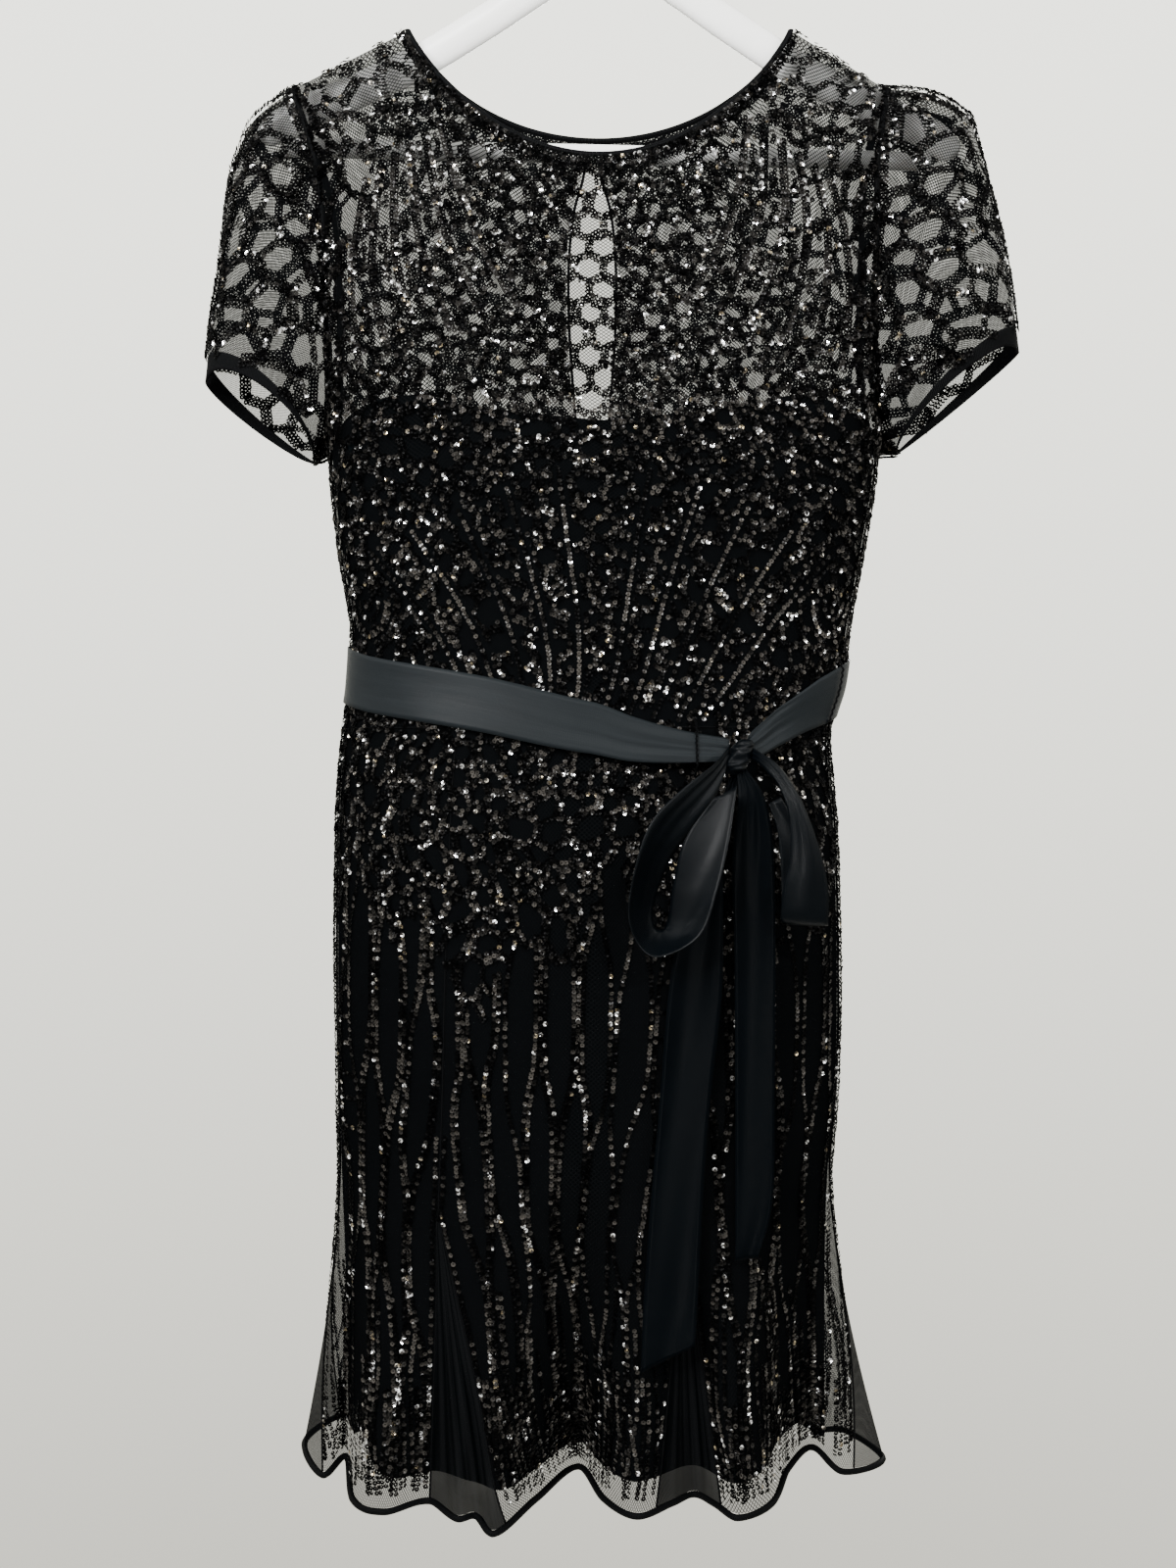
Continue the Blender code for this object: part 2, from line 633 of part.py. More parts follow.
def back_top(side, column):
    z = SHOULDER_END_Z
    for _ in range(HEIGHT_STEPS):
        z = neck_height(plain_body(back_angle(side, column, z), z).x, BACK_NECK_DROP)
    return z


def bodice_back(name, side):
    """One back: side 1 is at the right of the front view, side -1 at its left."""
    neck = 180 - NECK_RIGHT_ANGLE if side > 0 else 180 - NECK_LEFT_ANGLE
    outer = 90 if side > 0 else 270
    shoulder = between(outer, neck, SHOULDER_COLUMNS)
    columns = [edge_column(outer, True)] + [bodice_column(angle, BACK_NECK_DROP) for angle in shoulder[1:]]
    outs = [column_outs(angle, column) for angle, column in zip(shoulder, columns)]
    for i in range(1, NECK_COLUMNS // 2 + 1):
        top = back_top(side, i)
        heights = [WAIST_Z + share * (top - WAIST_Z) for share in BODICE_ROWS]
        columns.append([plain_body(back_angle(side, i, z), z) for z in heights])
        outs.append([body_out(back_angle(side, i, z), z) for z in heights])
    if side < 0:
        columns.reverse()
        outs.reverse()
    sheet(name, shift(short_of_seams(turn_grid(columns))), BLACK_NET, NET_WALL, outs=turn_grid(outs))


def seam_angle(seam, share):
    row = SKIRT_SEAMS[seam]
    top = SKIRT_ROWS[row[SEAM_ROW]]
    if share <= top:
        return row[SEAM_WAIST] + (row[SEAM_TOP] - row[SEAM_WAIST]) * share / top
    return row[SEAM_TOP] + (row[SEAM_HEM] - row[SEAM_TOP]) * (share - top) / (1 - top)


def godet_half(seam, share, least=0.0):
    """Half the godet's angle at a share of the way down, or the least given above its tip."""
    row = SKIRT_SEAMS[seam]
    top = SKIRT_ROWS[row[SEAM_ROW]]
    if share < top - 1e-6:
        return least
    return max(least, GODET_TIP_HALF + (row[SEAM_HALF] - GODET_TIP_HALF) * (share - top) / (1 - top))


def gore_angles(left, right, columns, share, least=0.0):
    first = seam_angle(left, share) + godet_half(left, share, least)
    last = seam_angle(right, share) - godet_half(right, share, least)
    if last < first:
        last += 360
    return between(first, last, columns)


def skirt_cloth(name, surface_point, grid, finish, wall):
    """A piece of the skirt or its lining, from a grid of angles and shares of the way down.

    Its wall's direction is the surface's own at the waist and along the seams, and follows
    the neighbouring points between them.
    """
    rows = [[surface_point(angle, share) for angle, share in line] for line in grid]
    outs = grid_outs(rows, False)
    for line, row_outs in zip(grid, outs):
        for i in (0, -1):
            row_outs[i] = outward(surface_point, *line[i], rise=-0.006)
    outs[-1] = [outward(surface_point, angle, share, rise=-0.006) for angle, share in grid[-1]]
    sheet(name, shift(short_of_seams(rows)), finish, wall, outs=outs)


def skirt_gores():
    for name, left, right, columns in GORES:
        grid = [[(angle, share) for angle in gore_angles(left, right, columns, share)]
                for share in reversed(SKIRT_ROWS)]
        skirt_cloth(name, skirt_point, grid, BLACK_NET, NET_WALL)


def godets():
    for seam, columns in GODET_COLUMNS.items():
        shares = [share for share in SKIRT_ROWS if share >= SKIRT_ROWS[SKIRT_SEAMS[seam][SEAM_ROW]]]
        grid = []
        for share in reversed(shares):
            middle, half = seam_angle(seam, share), godet_half(seam, share)
            grid.append([(angle, share) for angle in between(middle - half, middle + half, columns)])
        skirt_cloth("godet_" + seam, skirt_point, grid, BLACK_NET, NET_WALL)


def hem_angles():
    """Every column's angle round the hem, once."""
    angles = []
    for name, left, right, columns in GORES:
        angles += gore_angles(left, right, columns, 1)[:-1]
        middle, half = seam_angle(right, 1), godet_half(right, 1)
        if name.endswith("back_left"):
            middle += 360
        angles += between(middle - half, middle + half, GODET_COLUMNS[right])[:-1]
    return angles


def curve_object(name, points, radius, finish, cyclic=False, resolution=1):
    curve = bpy.data.curves.new(name, "CURVE")
    curve.dimensions = "3D"
    curve.bevel_depth = radius
    curve.bevel_resolution = resolution
    curve.use_fill_caps = not cyclic
    spline = curve.splines.new("POLY")
    spline.points.add(len(points) - 1)
    for spline_point, point in zip(spline.points, points):
        spline_point.co = (*point, 1)
    spline.use_cyclic_u = cyclic
    return add_object(name, curve, finish)


def hem_roll():
    down = Vector((DRESS_X, 0, -HEM_ROLL_RADIUS - HEM_ROLL_GAP))
    points = [skirt_point(angle, 1) + down for angle in hem_angles()]
    curve_object("hem_roll", points, HEM_ROLL_RADIUS, BLACK_BINDING, cyclic=True)


def lining_bodice(name, angles, top_line):
    columns, outs = [], []
    for angle in angles:
        side = math.degrees(math.asin(min(1, abs(math.sin(math.radians(angle))))))
        top = smooth_between(top_line, side, 1)
        heights = [WAIST_Z + share * (top - WAIST_Z) for share in LINING_BODICE_ROWS]
        outs.append([outward(plain_body, angle, z) for z in heights])
        columns.append([lined_point(angle, z) for z in heights])
    sheet(name, shift(short_of_seams(turn_grid(columns))), BLACK_LINING, LINING_WALL, outs=turn_grid(outs))


def lining_skirt(name, angles_at):
    """One side of the skirt lining, as one piece behind the gores and godets."""
    grid = [[(angle, share) for angle in angles_at(share)] for share in reversed(LINING_SKIRT_ROWS)]
    skirt_cloth(name, lining_skirt_point, grid, BLACK_LINING, LINING_WALL)


def front_lining_angles(share):
    return lining_angles(GORES[:3], ("front_left", "front_right"), -90, 90, share)


def back_lining_angles(share):
    return lining_angles(GORES[3:], ("back_right", "back_left"), 90, 270, share)


def lining_angles(gores, inner_seams, first, last, share):
    angles = [first]
    for number, (_, left, right, columns) in enumerate(gores):
        angles += gore_angles(left, right, columns, share, LINING_LEAST)
        if number < len(inner_seams):
            seam = inner_seams[number]
            middle, half = seam_angle(seam, share), godet_half(seam, share, LINING_LEAST)
            angles += between(middle - half, middle + half, GODET_COLUMNS[seam])[1:-1]
    return angles + [last]


def linings():
    back_angles = (between(90, 180 - NECK_RIGHT_ANGLE, SHOULDER_COLUMNS)
                   + closer_to_ends(180 - NECK_RIGHT_ANGLE, 180 - NECK_LEFT_ANGLE, NECK_COLUMNS)[1:]
                   + between(180 - NECK_LEFT_ANGLE, 270, SHOULDER_COLUMNS)[1:])
    lining_bodice("lining_bodice_front", front_angles(), LINING_FRONT_TOP)
    lining_bodice("lining_bodice_back", back_angles, LINING_BACK_TOP)
    lining_skirt("lining_skirt_front", front_lining_angles)
    lining_skirt("lining_skirt_back", back_lining_angles)


def armhole_ring(side):
    """The armhole from the shoulder down the front and up the back."""
    angle = -90 if side == "left" else 90
    front = edge_column(angle, False)[UNDERARM_ROW:]
    back = edge_column(angle, True)[UNDERARM_ROW:]
    return list(reversed(front)) + back[1:-1]


def sleeve_point(side, start, turn_share, share):
    """Point of the sleeve.

    turn_share goes round from over the arm by the front, and share from the armhole to the hem.
    """
    hem = {key: Vector(value) for key, value in SLEEVE_HEM[side].items()}
    round_angle = 2 * math.pi * turn_share
    cosine, sine = math.cos(round_angle), math.sin(round_angle)
    middle = (hem["over"] + hem["under"]) / 2
    half = (hem["over"] - hem["under"]) / 2
    belly = (hem["front"] if sine > 0 else hem["back"]) - middle
    end = middle + half * cosine + belly * abs(sine)
    point = start.lerp(end, share)
    top = SLEEVE_TOP[side]
    line = Vector((smooth_between(top, share, 1), 0, smooth_between(top, share, 2)))
    chord = Vector((top[0][1], 0, top[0][2])).lerp(Vector((top[-1][1], 0, top[-1][2])), share)
    point += (line - chord) * ((1 + cosine) / 2) ** 2
    point.y -= SLEEVE_PUFF * math.sin(math.pi * share) * sine
    return point


def sleeve_rows(side, shares):
    ring = armhole_ring(side)
    count = len(ring)
    rows = []
    for share in reversed(shares):
        row = [sleeve_point(side, start, i / count, share) for i, start in enumerate(ring)]
        if side == "right":
            row.reverse()
        rows.append(row)
    return rows


def sleeves():
    for side in ("left", "right"):
        rows = short_of_seams(sleeve_rows(side, SLEEVE_ROWS), sides=False)
        sheet("sleeve_" + side, shift(rows), BLACK_NET, NET_WALL, closed=True)
        rows = short_of_seams(sleeve_rows(side, CUFF_ROWS), sides=False)
        sheet("cuff_" + side, shift(rows), BLACK_BINDING, BINDING_WALL, closed=True)


def neck_edge():
    """The neck edge from left to right along the front and back along the back."""
    points = []
    for angle in closer_to_ends(NECK_LEFT_ANGLE, NECK_RIGHT_ANGLE, NECK_COLUMNS):
        points.append(plain_body(angle, top_height(angle, FRONT_NECK_DROP)))
    for side, columns in ((1, range(1, NECK_COLUMNS // 2 + 1)), (-1, range(NECK_COLUMNS // 2, 0, -1))):
        for column in columns:
            top = back_top(side, column)
            points.append(plain_body(back_angle(side, column, top), top))
    return points


def into_opening(points, centre, closed):
    """For each point of an edge, the direction square to the edge towards the opening's middle."""
    directions = []
    count = len(points)
    for i, point in enumerate(points):
        before = points[i - 1] if closed or i else point
        after = points[(i + 1) % count] if closed or i < count - 1 else point
        along = (after - before).normalized()
        towards = centre - point
        directions.append((towards - along * towards.dot(along)).normalized())
    return directions


def neck_binding():
    points = neck_edge()
    inwards = into_opening(points, Vector(NECK_CENTRE), True)
    rows = [[p + d * reach for p, d in zip(points, inwards)] for reach in (NECK_GAP, NECK_BINDING)]
    sheet("neck_binding", shift(rows), BLACK_BINDING, BINDING_WALL, closed=True)


def slit_binding():
    """A narrow binding up each edge of the back slit."""
    top = neck_height(SLIT_X, BACK_NECK_DROP) - SLIT_TOP_GAP
    heights = between(top, BACK_SLIT[1][0], SLIT_STEPS)
    for name, side in (("slit_binding_right", 1), ("slit_binding_left", -1)):
        edge = [slit_point(z, side) for z in heights]
        if side < 0:
            edge.reverse()
        rows = [[point - Vector((side * reach, 0, 0)) for point in edge]
                for reach in (2 * SEAM_STOP, SLIT_BINDING)]
        sheet(name, shift(rows), BLACK_BINDING, BINDING_WALL)


def belt():
    columns = []
    for angle in between(BELT[0][0], BELT[-1][0], BELT_COLUMNS):
        middle, width, off = (smooth_between(BELT, angle, column) for column in (1, 2, 3))
        column = []
        for share in (-0.5, 0, 0.5):
            z = middle + share * width
            column.append(plain_body(angle, z) + outward(plain_body, angle, z) * (off + SATIN_WALL))
        columns.append(column)
    for end, side in ((0, 1), (-1, -1)):
        for point in columns[end]:
            point.x = KNOT_CENTRE[0] + side * (KNOT_SIZE[0] / 2 + KNOT_GAP)
    sheet("belt_wrap", shift(turn_grid(columns)), BLACK_SATIN, SATIN_WALL)


def carriers():
    for name, (angle, top, bottom) in BELT_CARRIERS.items():
        rows = []
        for z in between(bottom, top, 3):
            belt_off = smooth_between(BELT, angle if angle > BELT[0][0] else angle + 360, 3)
            off = belt_off + SATIN_WALL + CARRIER_OFF
            middle = plain_body(angle, z) + outward(plain_body, angle, z) * off
            across = (plain_body(angle + 1, z) - plain_body(angle - 1, z)).normalized() * CARRIER_WIDTH / 2
            rows.append([middle - across, middle + across])
        sheet(name, shift(rows), BLACK_BINDING, NET_WALL)


def ribbon(name, sections):
    """A ribbon through sections that each give its two edges."""
    table_a = [(i, *a) for i, (a, _) in enumerate(sections)]
    table_b = [(i, *b) for i, (_, b) in enumerate(sections)]
    last = len(sections) - 1
    rows = []
    for step in between(0, last, RIBBON_STEPS * last):
        a = Vector([smooth_between(table_a, step, column) for column in (1, 2, 3)])
        b = Vector([smooth_between(table_b, step, column) for column in (1, 2, 3)])
        rows.append([a, a.lerp(b, 0.5), b])
    rows.reverse()
    sheet(name, shift(rows), BLACK_SATIN, SATIN_WALL)


def bow():
    ribbon("bow_loop_left", BOW_LOOP_LEFT)
    ribbon("bow_loop_right", BOW_LOOP_RIGHT)
    ribbon("bow_tail_left", BOW_TAIL_LEFT)
    ribbon("bow_tail_right", BOW_TAIL_RIGHT)
    mesh = bpy.data.meshes.new("bow_knot")
    shape = bmesh.new()
    bmesh.ops.create_cube(shape, size=1)
    bmesh.ops.scale(shape, vec=KNOT_SIZE, verts=shape.verts)
    shape.to_mesh(mesh)
    shape.free()
    knot = add_object("bow_knot", mesh, BLACK_SATIN)
    knot.location = Vector(KNOT_CENTRE) + Vector((DRESS_X, 0, 0))
    rounded = knot.modifiers.new("rounded", "BEVEL")
    rounded.width = KNOT_ROUNDING
    rounded.segments = 2
    mesh.shade_smooth()


def button():
    edge = slit_point(neck_height(SLIT_X, BACK_NECK_DROP) - BUTTON_DROP, 1)
    place = edge + Vector((DRESS_X + BUTTON_ACROSS, BUTTON_THICKNESS / 2 + BUTTON_OFF, 0))
    bpy.ops.mesh.primitive_cylinder_add(vertices=BUTTON_SIDES, radius=BUTTON_RADIUS, depth=BUTTON_THICKNESS)
    made = bpy.context.object
    made.name = "button"
    made.data.name = "button"
    made.location = place
    made.rotation_euler = (math.pi / 2, 0, 0)
    made.data.materials.append(material("button", BLACK_BUTTON))
    for old in list(made.users_collection):
        old.objects.unlink(made)
    collection.objects.link(made)


def hanger_arms():
    """Both arms as one bar with an oval section, smaller at its two ends."""
    line = [(-distance, z, share) for distance, z, share in reversed(HANGER_ARM)] + list(HANGER_ARM[1:])
    shape = bmesh.new()
    rings = []
    for i, (x, z, share) in enumerate(line):
        before, after = line[max(i - 1, 0)], line[min(i + 1, len(line) - 1)]
        along = Vector((after[0] - before[0], 0, after[1] - before[1])).normalized()
        up = Vector((-along.z, 0, along.x))
        ring = []
        for k in range(ARM_SIDES):
            angle = 2 * math.pi * k / ARM_SIDES
            side, high = math.cos(angle), math.sin(angle)
            place = Vector((HANGER_X + x, 0, z - x * HANGER_LEAN))
            place += up * (ARM_HEIGHT / 2 * share * math.copysign(abs(high) ** ARM_ROUNDNESS, high))
            place.y += ARM_THICKNESS / 2 * share * math.copysign(abs(side) ** ARM_ROUNDNESS, side)
            ring.append(shape.verts.new(place))
        rings.append(ring)
    for first, second in zip(rings, rings[1:]):
        for k in range(ARM_SIDES):
            m = (k + 1) % ARM_SIDES
            shape.faces.new((first[k], first[m], second[m], second[k]))
    shape.faces.new(list(reversed(rings[0])))
    shape.faces.new(rings[-1])
    bmesh.ops.recalc_face_normals(shape, faces=shape.faces)
    mesh = bpy.data.meshes.new("hanger_arms")
    shape.to_mesh(mesh)
    shape.free()
    mesh.shade_smooth()
    add_object("hanger_arms", mesh, WHITE_PLASTIC)


def hanger_bar():
    ends = [Vector((HANGER_X + x, 0, BAR_Z - x * HANGER_LEAN)) for x in (-BAR_HALF, 0, BAR_HALF)]
    curve_object("hanger_bar", ends, BAR_RADIUS, WHITE_PLASTIC, resolution=4)


def hanger_hook():
    """The hook's wire: up from the arms, then round over the rail."""
    middle = HOOK_RADIUS + HOOK_WIRE
    foot = Vector((HANGER_X, 0, HOOK_FOOT_Z))
    bend = []
    for angle in between(HOOK_START_ANGLE, HOOK_START_ANGLE + HOOK_TURN, HOOK_POINTS):
        turned = math.radians(angle)
        across, up = middle * math.cos(turned), middle * math.sin(turned)
        bend.append(Vector((HANGER_X + across, 0, up - HOOK_RADIUS)))
    points = [foot, (foot + bend[0]) / 2] + bend
    curve_object("hanger_hook", points, HOOK_WIRE, WHITE_PLASTIC, resolution=3)


for old_object in list(bpy.data.objects):
    bpy.data.objects.remove(old_object, do_unlink=True)
collection = bpy.data.collections.new("sequinned_dress")
bpy.context.scene.collection.children.link(collection)

bodice_front()
bodice_back("bodice_back_right", 1)
bodice_back("bodice_back_left", -1)
skirt_gores()
godets()
hem_roll()
linings()
sleeves()
neck_binding()
slit_binding()
belt()
carriers()
bow()
button()
hanger_arms()
hanger_bar()
hanger_hook()
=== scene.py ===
import math

import bmesh
import bpy
import numpy as np
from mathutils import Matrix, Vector
from mathutils.geometry import delaunay_2d_cdt
from mathutils.kdtree import KDTree


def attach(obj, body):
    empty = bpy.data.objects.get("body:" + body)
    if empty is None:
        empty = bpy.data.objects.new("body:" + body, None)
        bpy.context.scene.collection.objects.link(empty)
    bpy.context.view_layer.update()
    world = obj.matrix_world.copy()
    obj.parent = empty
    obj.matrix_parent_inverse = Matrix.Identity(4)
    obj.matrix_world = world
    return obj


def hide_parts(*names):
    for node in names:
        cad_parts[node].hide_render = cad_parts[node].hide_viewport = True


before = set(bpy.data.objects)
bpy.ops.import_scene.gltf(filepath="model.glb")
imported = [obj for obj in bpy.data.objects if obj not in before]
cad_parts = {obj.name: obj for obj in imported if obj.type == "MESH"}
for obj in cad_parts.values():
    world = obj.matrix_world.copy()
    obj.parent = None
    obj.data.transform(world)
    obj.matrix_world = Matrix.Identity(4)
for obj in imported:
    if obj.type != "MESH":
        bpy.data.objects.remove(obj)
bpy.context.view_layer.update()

# The camera stands level with the middle of the dress
CAMERA_PLACE = (-0.0136, -1.08, -0.6)
CAMERA_LENS = 37.97
CAMERA_SENSOR = 36
CAMERA_NEAREST = 0.05

# The studio: how bright its walls are seen, and how brightly they light the front and the back
WALL_BRIGHTNESS = 3.4
ROOM_FRONT = 0.7
ROOM_BACK = 3.0
ROOM_LOW = (0.285, 0.278, 0.245)
ROOM_HIGH = (0.83, 0.83, 0.755)
FLOOR_Z = -1.30
FLOOR_RADIUS = 0.36
LIGHTS_AIM = (0, 0, -0.55)
# Lights: name, place, width, watts
LIGHTS = (
    ("key", (-0.9, -1.5, 0.7), 1.1, 95.0),
    ("fill", (1.3, -1.1, 0.1), 0.9, 22.0),
    ("back", (0.4, 1.6, 0.4), 1.0, 40.0),
    ("glint_left", (-0.75, -1.3, -0.15), 0.10, 16.0),
    ("glint_right", (0.55, -1.35, 0.05), 0.08, 12.0),
    ("glint_low", (0.15, -1.5, -0.95), 0.08, 8.0),
    ("glint_back", (0.5, 1.3, 0.1), 0.10, 16.0),
)

# The dress on the hanger
DRESS_X = -0.004
DRESS_PLACE = np.array([DRESS_X, 0, 0])
ROUNDNESS = 2.4
SIDE_ANGLE = 89.999
SHOULDER_ROLL = 0.090
SHOULDER_END_Z = -0.146
NECK_POINT_Z = -0.1085
NECK_LEFT_X = -0.128
NECK_RIGHT_X = 0.1235
NECK_MIDDLE_X = (NECK_LEFT_X + NECK_RIGHT_X) / 2
NECK_HALF = (NECK_RIGHT_X - NECK_LEFT_X) / 2
NECK_BOW = 0.033
FRONT_NECK_DROP = 0.0950
BACK_NECK_DROP = 0.0605
NECK_CURVE = 0.78
UNDERARM_Z = -0.386
WAIST_Z = -0.565
HEM_Z = -1.030
ARMHOLE_FRONT = 0.034
ARMHOLE_BACK = 0.030
LINING_DEPTH = 0.0017
LINING_SEAM_DEPTH = 0.0012
LINING_SEAM_REACH = 0.030

# Widths and depths of the body: height, left edge, right edge, front depth, back depth
BODY = (
    (-1.040, -0.1700, 0.1460, 0.084, 0.066),
    (-0.914, -0.1696, 0.1460, 0.079, 0.060),
    (-0.856, -0.1709, 0.1472, 0.078, 0.058),
    (-0.792, -0.1722, 0.1523, 0.077, 0.057),
    (-0.728, -0.1734, 0.1536, 0.076, 0.056),
    (-0.632, -0.1728, 0.1517, 0.072, 0.054),
    (-0.600, -0.1715, 0.1491, 0.070, 0.052),
    (-0.565, -0.1683, 0.1472, 0.066, 0.050),
    (-0.536, -0.1645, 0.1555, 0.064, 0.048),
    (-0.498, -0.1632, 0.1600, 0.065, 0.047),
    (-0.446, -0.1715, 0.1696, 0.067, 0.046),
    (-0.386, -0.1773, 0.1780, 0.066, 0.045),
    (-0.344, -0.1754, 0.1734, 0.060, 0.043),
    (-0.288, -0.1760, 0.1722, 0.051, 0.040),
    (-0.240, -0.1773, 0.1734, 0.043, 0.037),
    (-0.200, -0.1835, 0.1745, 0.037, 0.034),
    (-0.146, -0.2016, 0.1843, 0.031, 0.030),
)

# The wavy hem, a row for each crest and trough: angle, across, depth, height
HEM = (
    (-102, -0.178, 0.042, -1.026),
    (-90, -0.195, 0.000, -1.027),
    (-78, -0.176, -0.043, -1.031),
    (-66, -0.163, -0.032, -1.024),
    (-57, -0.152, -0.080, -1.030),
    (-44, -0.131, -0.098, -1.030),
    (-31, -0.105, -0.083, -1.030),
    (-25, -0.087, -0.107, -1.030),
    (-20, -0.076, -0.101, -1.031),
    (-15, -0.064, -0.114, -1.035),
    (-8, -0.041, -0.080, -1.030),
    (-1, -0.0155, -0.040, -1.0265),
    (4, 0.000, -0.080, -1.030),
    (9, 0.019, -0.104, -1.030),
    (14, 0.040, -0.087, -1.030),
    (19, 0.055, -0.0735, -1.030),
    (24, 0.067, -0.088, -1.030),
    (29, 0.0785, -0.106, -1.030),
    (37, 0.101, -0.086, -1.030),
    (46, 0.116, -0.043, -1.027),
    (58, 0.134, -0.018, -1.023),
    (74, 0.151, -0.034, -1.0325),
    (90, 0.1805, -0.004, -1.0365),
    (104, 0.163, 0.033, -1.033),
    (116, 0.143, 0.030, -1.030),
    (130, 0.116, 0.070, -1.031),
    (142, 0.092, 0.054, -1.030),
    (155, 0.064, 0.083, -1.034),
    (168, 0.026, 0.055, -1.030),
    (180, -0.010, 0.074, -1.031),
    (192, -0.046, 0.054, -1.030),
    (205, -0.083, 0.083, -1.034),
    (218, -0.110, 0.056, -1.030),
    (231, -0.137, 0.073, -1.031),
    (245, -0.159, 0.036, -1.028),
)
FOLD_START_Z = -0.840
FOLD_GROWTH = 1.5
HEM_FIRST_ANGLE = -102

# The lining's own folds at the shell's hem: angle, across, depth
LINING_FOLDS = (
    (-102, -0.163, 0.016),
    (-90, -0.166, 0.000),
    (-66, -0.151, -0.024),
    (-57, -0.143, -0.060),
    (-44, -0.126, -0.086),
    (-31, -0.103, -0.073),
    (-22, -0.080, -0.088),
    (-13, -0.056, -0.088),
    (-8, -0.040, -0.066),
    (-1, -0.0155, -0.030),
    (4, -0.001, -0.064),
    (9, 0.018, -0.090),
    (19, 0.055, -0.063),
    (29, 0.078, -0.093),
    (37, 0.098, -0.073),
    (46, 0.110, -0.034),
    (58, 0.126, -0.010),
    (74, 0.137, -0.010),
    (90, 0.145, 0.000),
    (104, 0.142, 0.012),
    (116, 0.133, 0.020),
    (130, 0.109, 0.058),
    (142, 0.088, 0.042),
    (155, 0.063, 0.070),
    (168, 0.026, 0.043),
    (180, -0.010, 0.061),
    (192, -0.045, 0.042),
    (205, -0.081, 0.070),
    (218, -0.107, 0.043),
    (231, -0.130, 0.059),
    (245, -0.150, 0.023),
)

# Skirt seams: angle at the waist, at the godet's top and at the hem, share of the skirt where the
# godet starts, and its half width in degrees at the hem
SKIRT_SEAMS = {
    "left": (-90, -90, -90, 0.75, 12),
    "front_left": (-26, -30, -22, 0.65, 9),
    "front_right": (20, 18.4, 18.5, 0.65, 6.7),
    "right": (90, 90, 90, 0.70, 12),
    "back_right": (155, 155, 155, 0.65, 9),
    "back_left": (205, 205, 205, 0.65, 9),
}
GODET_TIP_HALF = 0.4
GORES = (
    ("skirt_side_front_left", "left", "front_left"),
    ("skirt_centre_front", "front_left", "front_right"),
    ("skirt_side_front_right", "front_right", "right"),
    ("skirt_side_back_right", "right", "back_right"),
    ("skirt_centre_back", "back_right", "back_left"),
    ("skirt_side_back_left", "back_left", "left"),
)
NECK_LEFT_ANGLE = -34.2
NECK_RIGHT_ANGLE = 39.4
NECK_TURN = NECK_RIGHT_ANGLE - NECK_LEFT_ANGLE
# The neck edge of a side: its first angle and its drop
NECK_SIDES = {"front": (NECK_LEFT_ANGLE, FRONT_NECK_DROP), "back": (180 - NECK_RIGHT_ANGLE, BACK_NECK_DROP)}

# The slit down the back: height, half width between the raw edges
SLIT_X = -0.0067
BACK_SLIT = ((-0.425, 0.0002), (-0.400, 0.0060), (-0.370, 0.0110), (-0.330, 0.0145),
             (-0.290, 0.0170), (-0.250, 0.0172), (-0.215, 0.0138), (-0.190, 0.0070), (-0.165, 0.0046))

# Lining: top lines as angle from the middle of a side and height, and its hem as a share of the skirt
LINING_FRONT_TOP = ((0, -0.376), (22, -0.367), (42, -0.358), (62, -0.368), (78, -0.384), (90, -0.392))
LINING_BACK_TOP = ((0, -0.432), (40, -0.415), (70, -0.400), (90, -0.392))
LINING_HEM = 0.975

# Sleeves: hem points at the top of the arm, under it, at the front and at the back
SLEEVE_HEM = {
    "left": {"over": (-0.2592, 0.000, -0.3366), "under": (-0.1890, 0.000, -0.3905),
             "front": (-0.2114, -0.040, -0.3522), "back": (-0.2378, 0.035, -0.3589)},
    "right": {"over": (0.2707, 0.000, -0.3184), "under": (0.1920, 0.000, -0.3850),
              "front": (0.2219, -0.040, -0.3442), "back": (0.2510, 0.035, -0.3372)},
}
# Line over the arm: share of its length, across, height
SLEEVE_TOP = {
    "left": ((0, -0.2016, -0.1460), (0.151, -0.2270, -0.1655), (0.231, -0.2345, -0.1800),
             (0.339, -0.2419, -0.2019), (0.628, -0.2496, -0.2608), (0.818, -0.2560, -0.2992),
             (1, -0.2592, -0.3366)),
    "right": ((0, 0.1843, -0.1460), (0.146, 0.2150, -0.1500), (0.269, 0.2380, -0.1640),
              (0.319, 0.2425, -0.1760), (0.443, 0.2496, -0.2026), (0.695, 0.2624, -0.2544),
              (0.909, 0.2694, -0.2992), (1, 0.2707, -0.3184)),
}
SLEEVE_PUFF = 0.010
CUFF_SHARE = 0.93

# Belt, from the knot round by the right: angle, middle height, width, distance off the dress
BELT = (
    (34.5, -0.5800, 0.014, 0.012),
    (38, -0.5745, 0.020, 0.009),
    (44, -0.5640, 0.027, 0.005),
    (59, -0.5490, 0.034, 0.0022),
    (90, -0.5354, 0.036, 0.0020),
    (135, -0.5300, 0.036, 0.0020),
    (180, -0.5275, 0.036, 0.0020),
    (225, -0.5270, 0.036, 0.0020),
    (270, -0.5283, 0.036, 0.0020),
    (300, -0.5370, 0.035, 0.0020),
    (338, -0.5505, 0.034, 0.0022),
    (358.6, -0.5645, 0.032, 0.0030),
    (366.5, -0.5727, 0.028, 0.0045),
    (377, -0.5780, 0.020, 0.0080),
    (387.5, -0.5806, 0.013, 0.0120),
)
KNOT_CENTRE = (0.0824, -0.0735, -0.5806)
KNOT_SIZE = (0.0120, 0.0200, 0.0150)
KNOT_DROP = 0.0030
KNOT_LEAN = 0.35
RIBBON_WALL = 0.0005
RIBBON_WIDTH = 0.036

